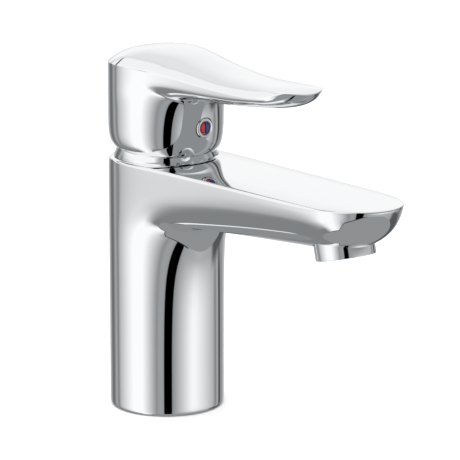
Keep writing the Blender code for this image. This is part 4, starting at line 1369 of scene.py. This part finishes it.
@dataclass
class Studio:
    """Pale floor, surrounding light panels, and the camera."""

    azimuth: float = -42.0
    elevation: float = 13.3
    distance: float = 1.25
    lens: float = 234.05
    target_height: float = 0.075
    pan: tuple[float, float] = (0.02652, -0.00056)

    def axes(self) -> tuple[Vector, Vector, Vector]:
        """The camera's back, right and up directions."""
        turn, rise = math.radians(self.azimuth), math.radians(self.elevation)
        back = Vector((math.sin(turn) * math.cos(rise), -math.cos(turn) * math.cos(rise), math.sin(rise)))
        right = Vector((math.cos(turn), math.sin(turn), 0.0))
        return back, right, back.cross(right)

    def make(self) -> None:
        """Sets up everything round the object."""
        bpy.context.scene.view_settings.view_transform = "Standard"
        self.camera()
        self.floor()
        self.surround()
        self.lights()

    def camera(self) -> None:
        """The camera, in front and to the left of the spout, looking a little down."""
        back, right, up = self.axes()
        aim = Vector((0.0, 0.0, self.target_height)) + right * self.pan[0] + up * self.pan[1]
        data = bpy.data.cameras.new("camera")
        data.sensor_width = 36.0
        data.lens = self.lens
        data.clip_end = 20.0
        made = bpy.data.objects.new("camera", data)
        bpy.context.scene.collection.objects.link(made)
        turn = Matrix((right, up, back)).transposed().to_4x4()
        made.matrix_world = Matrix.Translation(aim + back * self.distance) @ turn
        bpy.context.scene.camera = made

    def floor(self) -> None:
        """A wide pale floor, left out of the chrome's reflections, where the surround stands in for it."""
        deselect()
        bpy.ops.mesh.primitive_circle_add(vertices=96, radius=4.0, fill_type="NGON", location=(0, 0, 0))
        floor = take_new("floor")
        made = bpy.data.materials.new("pale_floor")
        made.use_nodes = True
        shader = made.node_tree.nodes["Principled BSDF"]
        shader.inputs["Base Color"].default_value = (0.93, 0.93, 0.93, 1.0)
        shader.inputs["Roughness"].default_value = 0.9
        shader.inputs["Specular IOR Level"].default_value = 0.0
        floor.data.materials.append(made)
        floor.visible_glossy = False

    def panels(self) -> list[Panel]:
        """The studio's uprights at the height of the object, left to right."""
        return [
            Panel(-150.0, -142.0, -134.0, -128.0, -0.13),
            Panel(-128.0, -125.0, -123.0, -119.0, 0.10),
            Panel(-120.0, -114.5, -113.0, -108.0, -0.14),
            Panel(-121.0, -72.0, -50.0, -21.0, 0.74),
            Panel(-20.0, -15.0, -10.0, -5.0, 0.06),
            Panel(13.0, 52.0, 60.0, 124.0, 0.68),
            Panel(108.0, 114.0, 117.0, 120.0, -0.12),
            Panel(120.0, 123.0, 126.0, 128.0, 0.12),
            Panel(127.0, 131.0, 134.0, 138.0, -0.26),
        ]

    def surround(self) -> None:
        """A world of upright soft panels over a round grey table, and plain white where it is looked at."""
        world = bpy.data.worlds.new("studio")
        bpy.context.scene.world = world
        world.use_nodes = True
        tree = world.node_tree
        tree.nodes.clear()
        way = node(tree, "ShaderNodeTexCoord", {}, {}, "Generated")
        x, y, z = (node(tree, "ShaderNodeSeparateXYZ", {}, {0: way}, axis) for axis in "XYZ")
        back, right, _ = self.axes()
        flat = Vector((back.x, back.y, 0.0)).normalized()
        ahead = x * flat.x + y * flat.y
        side = x * right.x + y * right.y
        around = side.math("ARCTAN2", ahead) * math.degrees(1.0)
        rise = z.math("ARCSINE") * math.degrees(1.0)
        level = self.table(self.overhead(self.wall(around, rise), around, rise), around, rise)
        cool = blend_colours(tree, ramp(level, 0.0, 0.9), (0.925, 0.97, 1.0, 1.0), (1.0, 1.0, 1.0, 1.0))
        tint = node(tree, "ShaderNodeVectorMath", {"operation": "SCALE"}, {0: cool, "Scale": level}, 0)
        seen = node(tree, "ShaderNodeLightPath", {}, {}, "Is Camera Ray")
        mirrored = node(tree, "ShaderNodeLightPath", {}, {}, "Is Glossy Ray")
        ambient = blend_colours(tree, mirrored, (0.9, 0.9, 0.9, 1.0), tint)
        colour = blend_colours(tree, seen, ambient, (1.0, 1.0, 1.0, 1.0))
        light = node(tree, "ShaderNodeBackground", {}, {"Color": colour, "Strength": 1.0})
        out = tree.nodes.new("ShaderNodeOutputWorld")
        tree.links.new(light.socket, out.inputs[0])

    def wall(self, around: Sock, rise: Sock) -> Sock:
        """The panels round the object, dimmer towards the table."""
        level = around * 0.0 + 0.30
        for panel in self.panels():
            level = level + panel.over(around)
        behind = ramp(around.math("ABSOLUTE"), 146.0, 178.0)
        level = level + behind * 0.56
        left_foot = ramp(rise, -18.0, -42.0) * ramp(around, -72.0, -104.0)
        right_foot = ramp(rise, -17.0, -32.0) * ramp(around, 8.0, 20.0)
        low_foot = ramp(rise, -34.0, -43.0) * ramp(around, -12.0, -24.0) * ramp(around, -38.0, -32.0)
        far_foot = ramp(rise, -22.0, -28.0) * ramp(around, 98.0, 110.0)
        side_foot = ramp(rise, -33.0, -50.0) * ramp(around, -60.0, -76.0)
        level = between(level, 0.22, side_foot)
        level = between(level, 0.24, left_foot)
        level = between(level, 0.36, right_foot * 0.85)
        level = between(level, 0.34, low_foot * 0.8)
        return between(level, 0.10, far_foot)

    def overhead(self, level: Sock, around: Sock, rise: Sock) -> Sock:
        """Above the object: a white sheet on the left and behind, a grey one on the right, dark corners."""
        left = ramp(around, -136.0, -112.0) * ramp(around, -14.0, -30.0)
        right = ramp(around, 12.0, 18.0) * ramp(around, 112.0, 96.0)
        level = between(level, 0.99, ramp(rise, 10.0, 24.0) * left)
        level = between(level, 0.30, ramp(rise, -4.0, 4.0) * right)
        high = ramp(rise, 2.0, 10.0)
        wide = around.math("ABSOLUTE")
        behind = ramp(wide, 150.0, 160.0)
        sheet = 0.985 - ramp(rise, 17.0, 40.0) * 0.16
        level = between(level, sheet, high * behind)
        gap = ramp(around, -160.0, -150.0) * ramp(around, -108.0, -114.0)
        level = between(level, 0.95, ramp(rise, 17.0, 22.0) * gap)
        corner = ramp(wide, 112.0, 118.0) * ramp(wide, 156.0, 150.0)
        level = between(level, 0.10, corner * ramp(rise, 29.0, 30.0) * ramp(rise, 33.0, 32.0))
        flag = ramp(around, -6.2, -4.8) * ramp(around, 11.6, 10.2)
        return between(level, 0.0, flag)

    def table(self, level: Sock, around: Sock, rise: Sock) -> Sock:
        """The flat grey table under everything, with a dark line along its far edge."""
        edge = ramp(around, -25.0, 20.0) * 4.0 - ramp(around, -28.0, -44.0) * 16.0 - 42.5
        outline = ramp(rise - edge, 1.8, 1.3) * ramp(around, -80.0, -60.0) * ramp(around, 24.0, 18.0)
        level = between(level, 0.02, outline)
        return between(level, 0.305, ramp(rise - edge, 0.15, -0.15))

    def lights(self) -> None:
        """Two soft lamps for the floor and the coloured marks, left out of the reflections."""
        for name, place, power, size in (
            ("key_lamp", (-0.9, -1.1, 1.6), 22.0, 1.2),
            ("top_lamp", (0.2, 0.1, 2.0), 26.0, 2.0),
        ):
            data = bpy.data.lights.new(name, "AREA")
            data.energy = power
            data.size = size
            lamp = bpy.data.objects.new(name, data)
            bpy.context.scene.collection.objects.link(lamp)
            lamp.location = place
            lamp.rotation_euler = (Vector(place) - Vector((0, 0, 0.05))).to_track_quat("Z", "Y").to_euler()
            lamp.visible_glossy = False


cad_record: dict = {}
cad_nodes: dict = {}


def main() -> None:
    """Loads the frame, builds each sub-assembly in order and reports it."""
    logging.basicConfig(level=logging.INFO, format="%(message)s")
    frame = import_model()
    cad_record.update(frame["record"])
    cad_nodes.update(frame["nodes"])
    pivot = next(joint for joint in frame["joints"] if joint["name"] == "lever_lift")["pos_m"][2]
    Studio().make()

    radius = 24.0 * MM
    dome = DomeRing.from_frame(pivot)
    index = IndexButton.from_frame(radius)
    pieces = [SpoutBody(radius, 133.3 * MM, 1.4 * MM, 1.2 * MM, 2.0).make(), dome.make()]
    pieces.append(LeverHandle(radius, 88.8 * MM, 1.1 * MM, 2.4 * MM, 2.0).make(index, dome))
    pieces += index.make()
    pieces += Aerator.from_frame().make()
    for piece in pieces:
        log.info("%s: %d faces", piece.name, len(piece.data.polygons))
    replaced = {"body", "handle", "dome_ring", "index_plug", "index_hot", "index_cold", "aerator_housing"}
    dressed = InnerWorks(replaced | {"aerator_insert"}).make()
    log.info("dressed %s", ", ".join(dressed))

    bpy.context.view_layer.update()


if __name__ == "__main__":
    main()
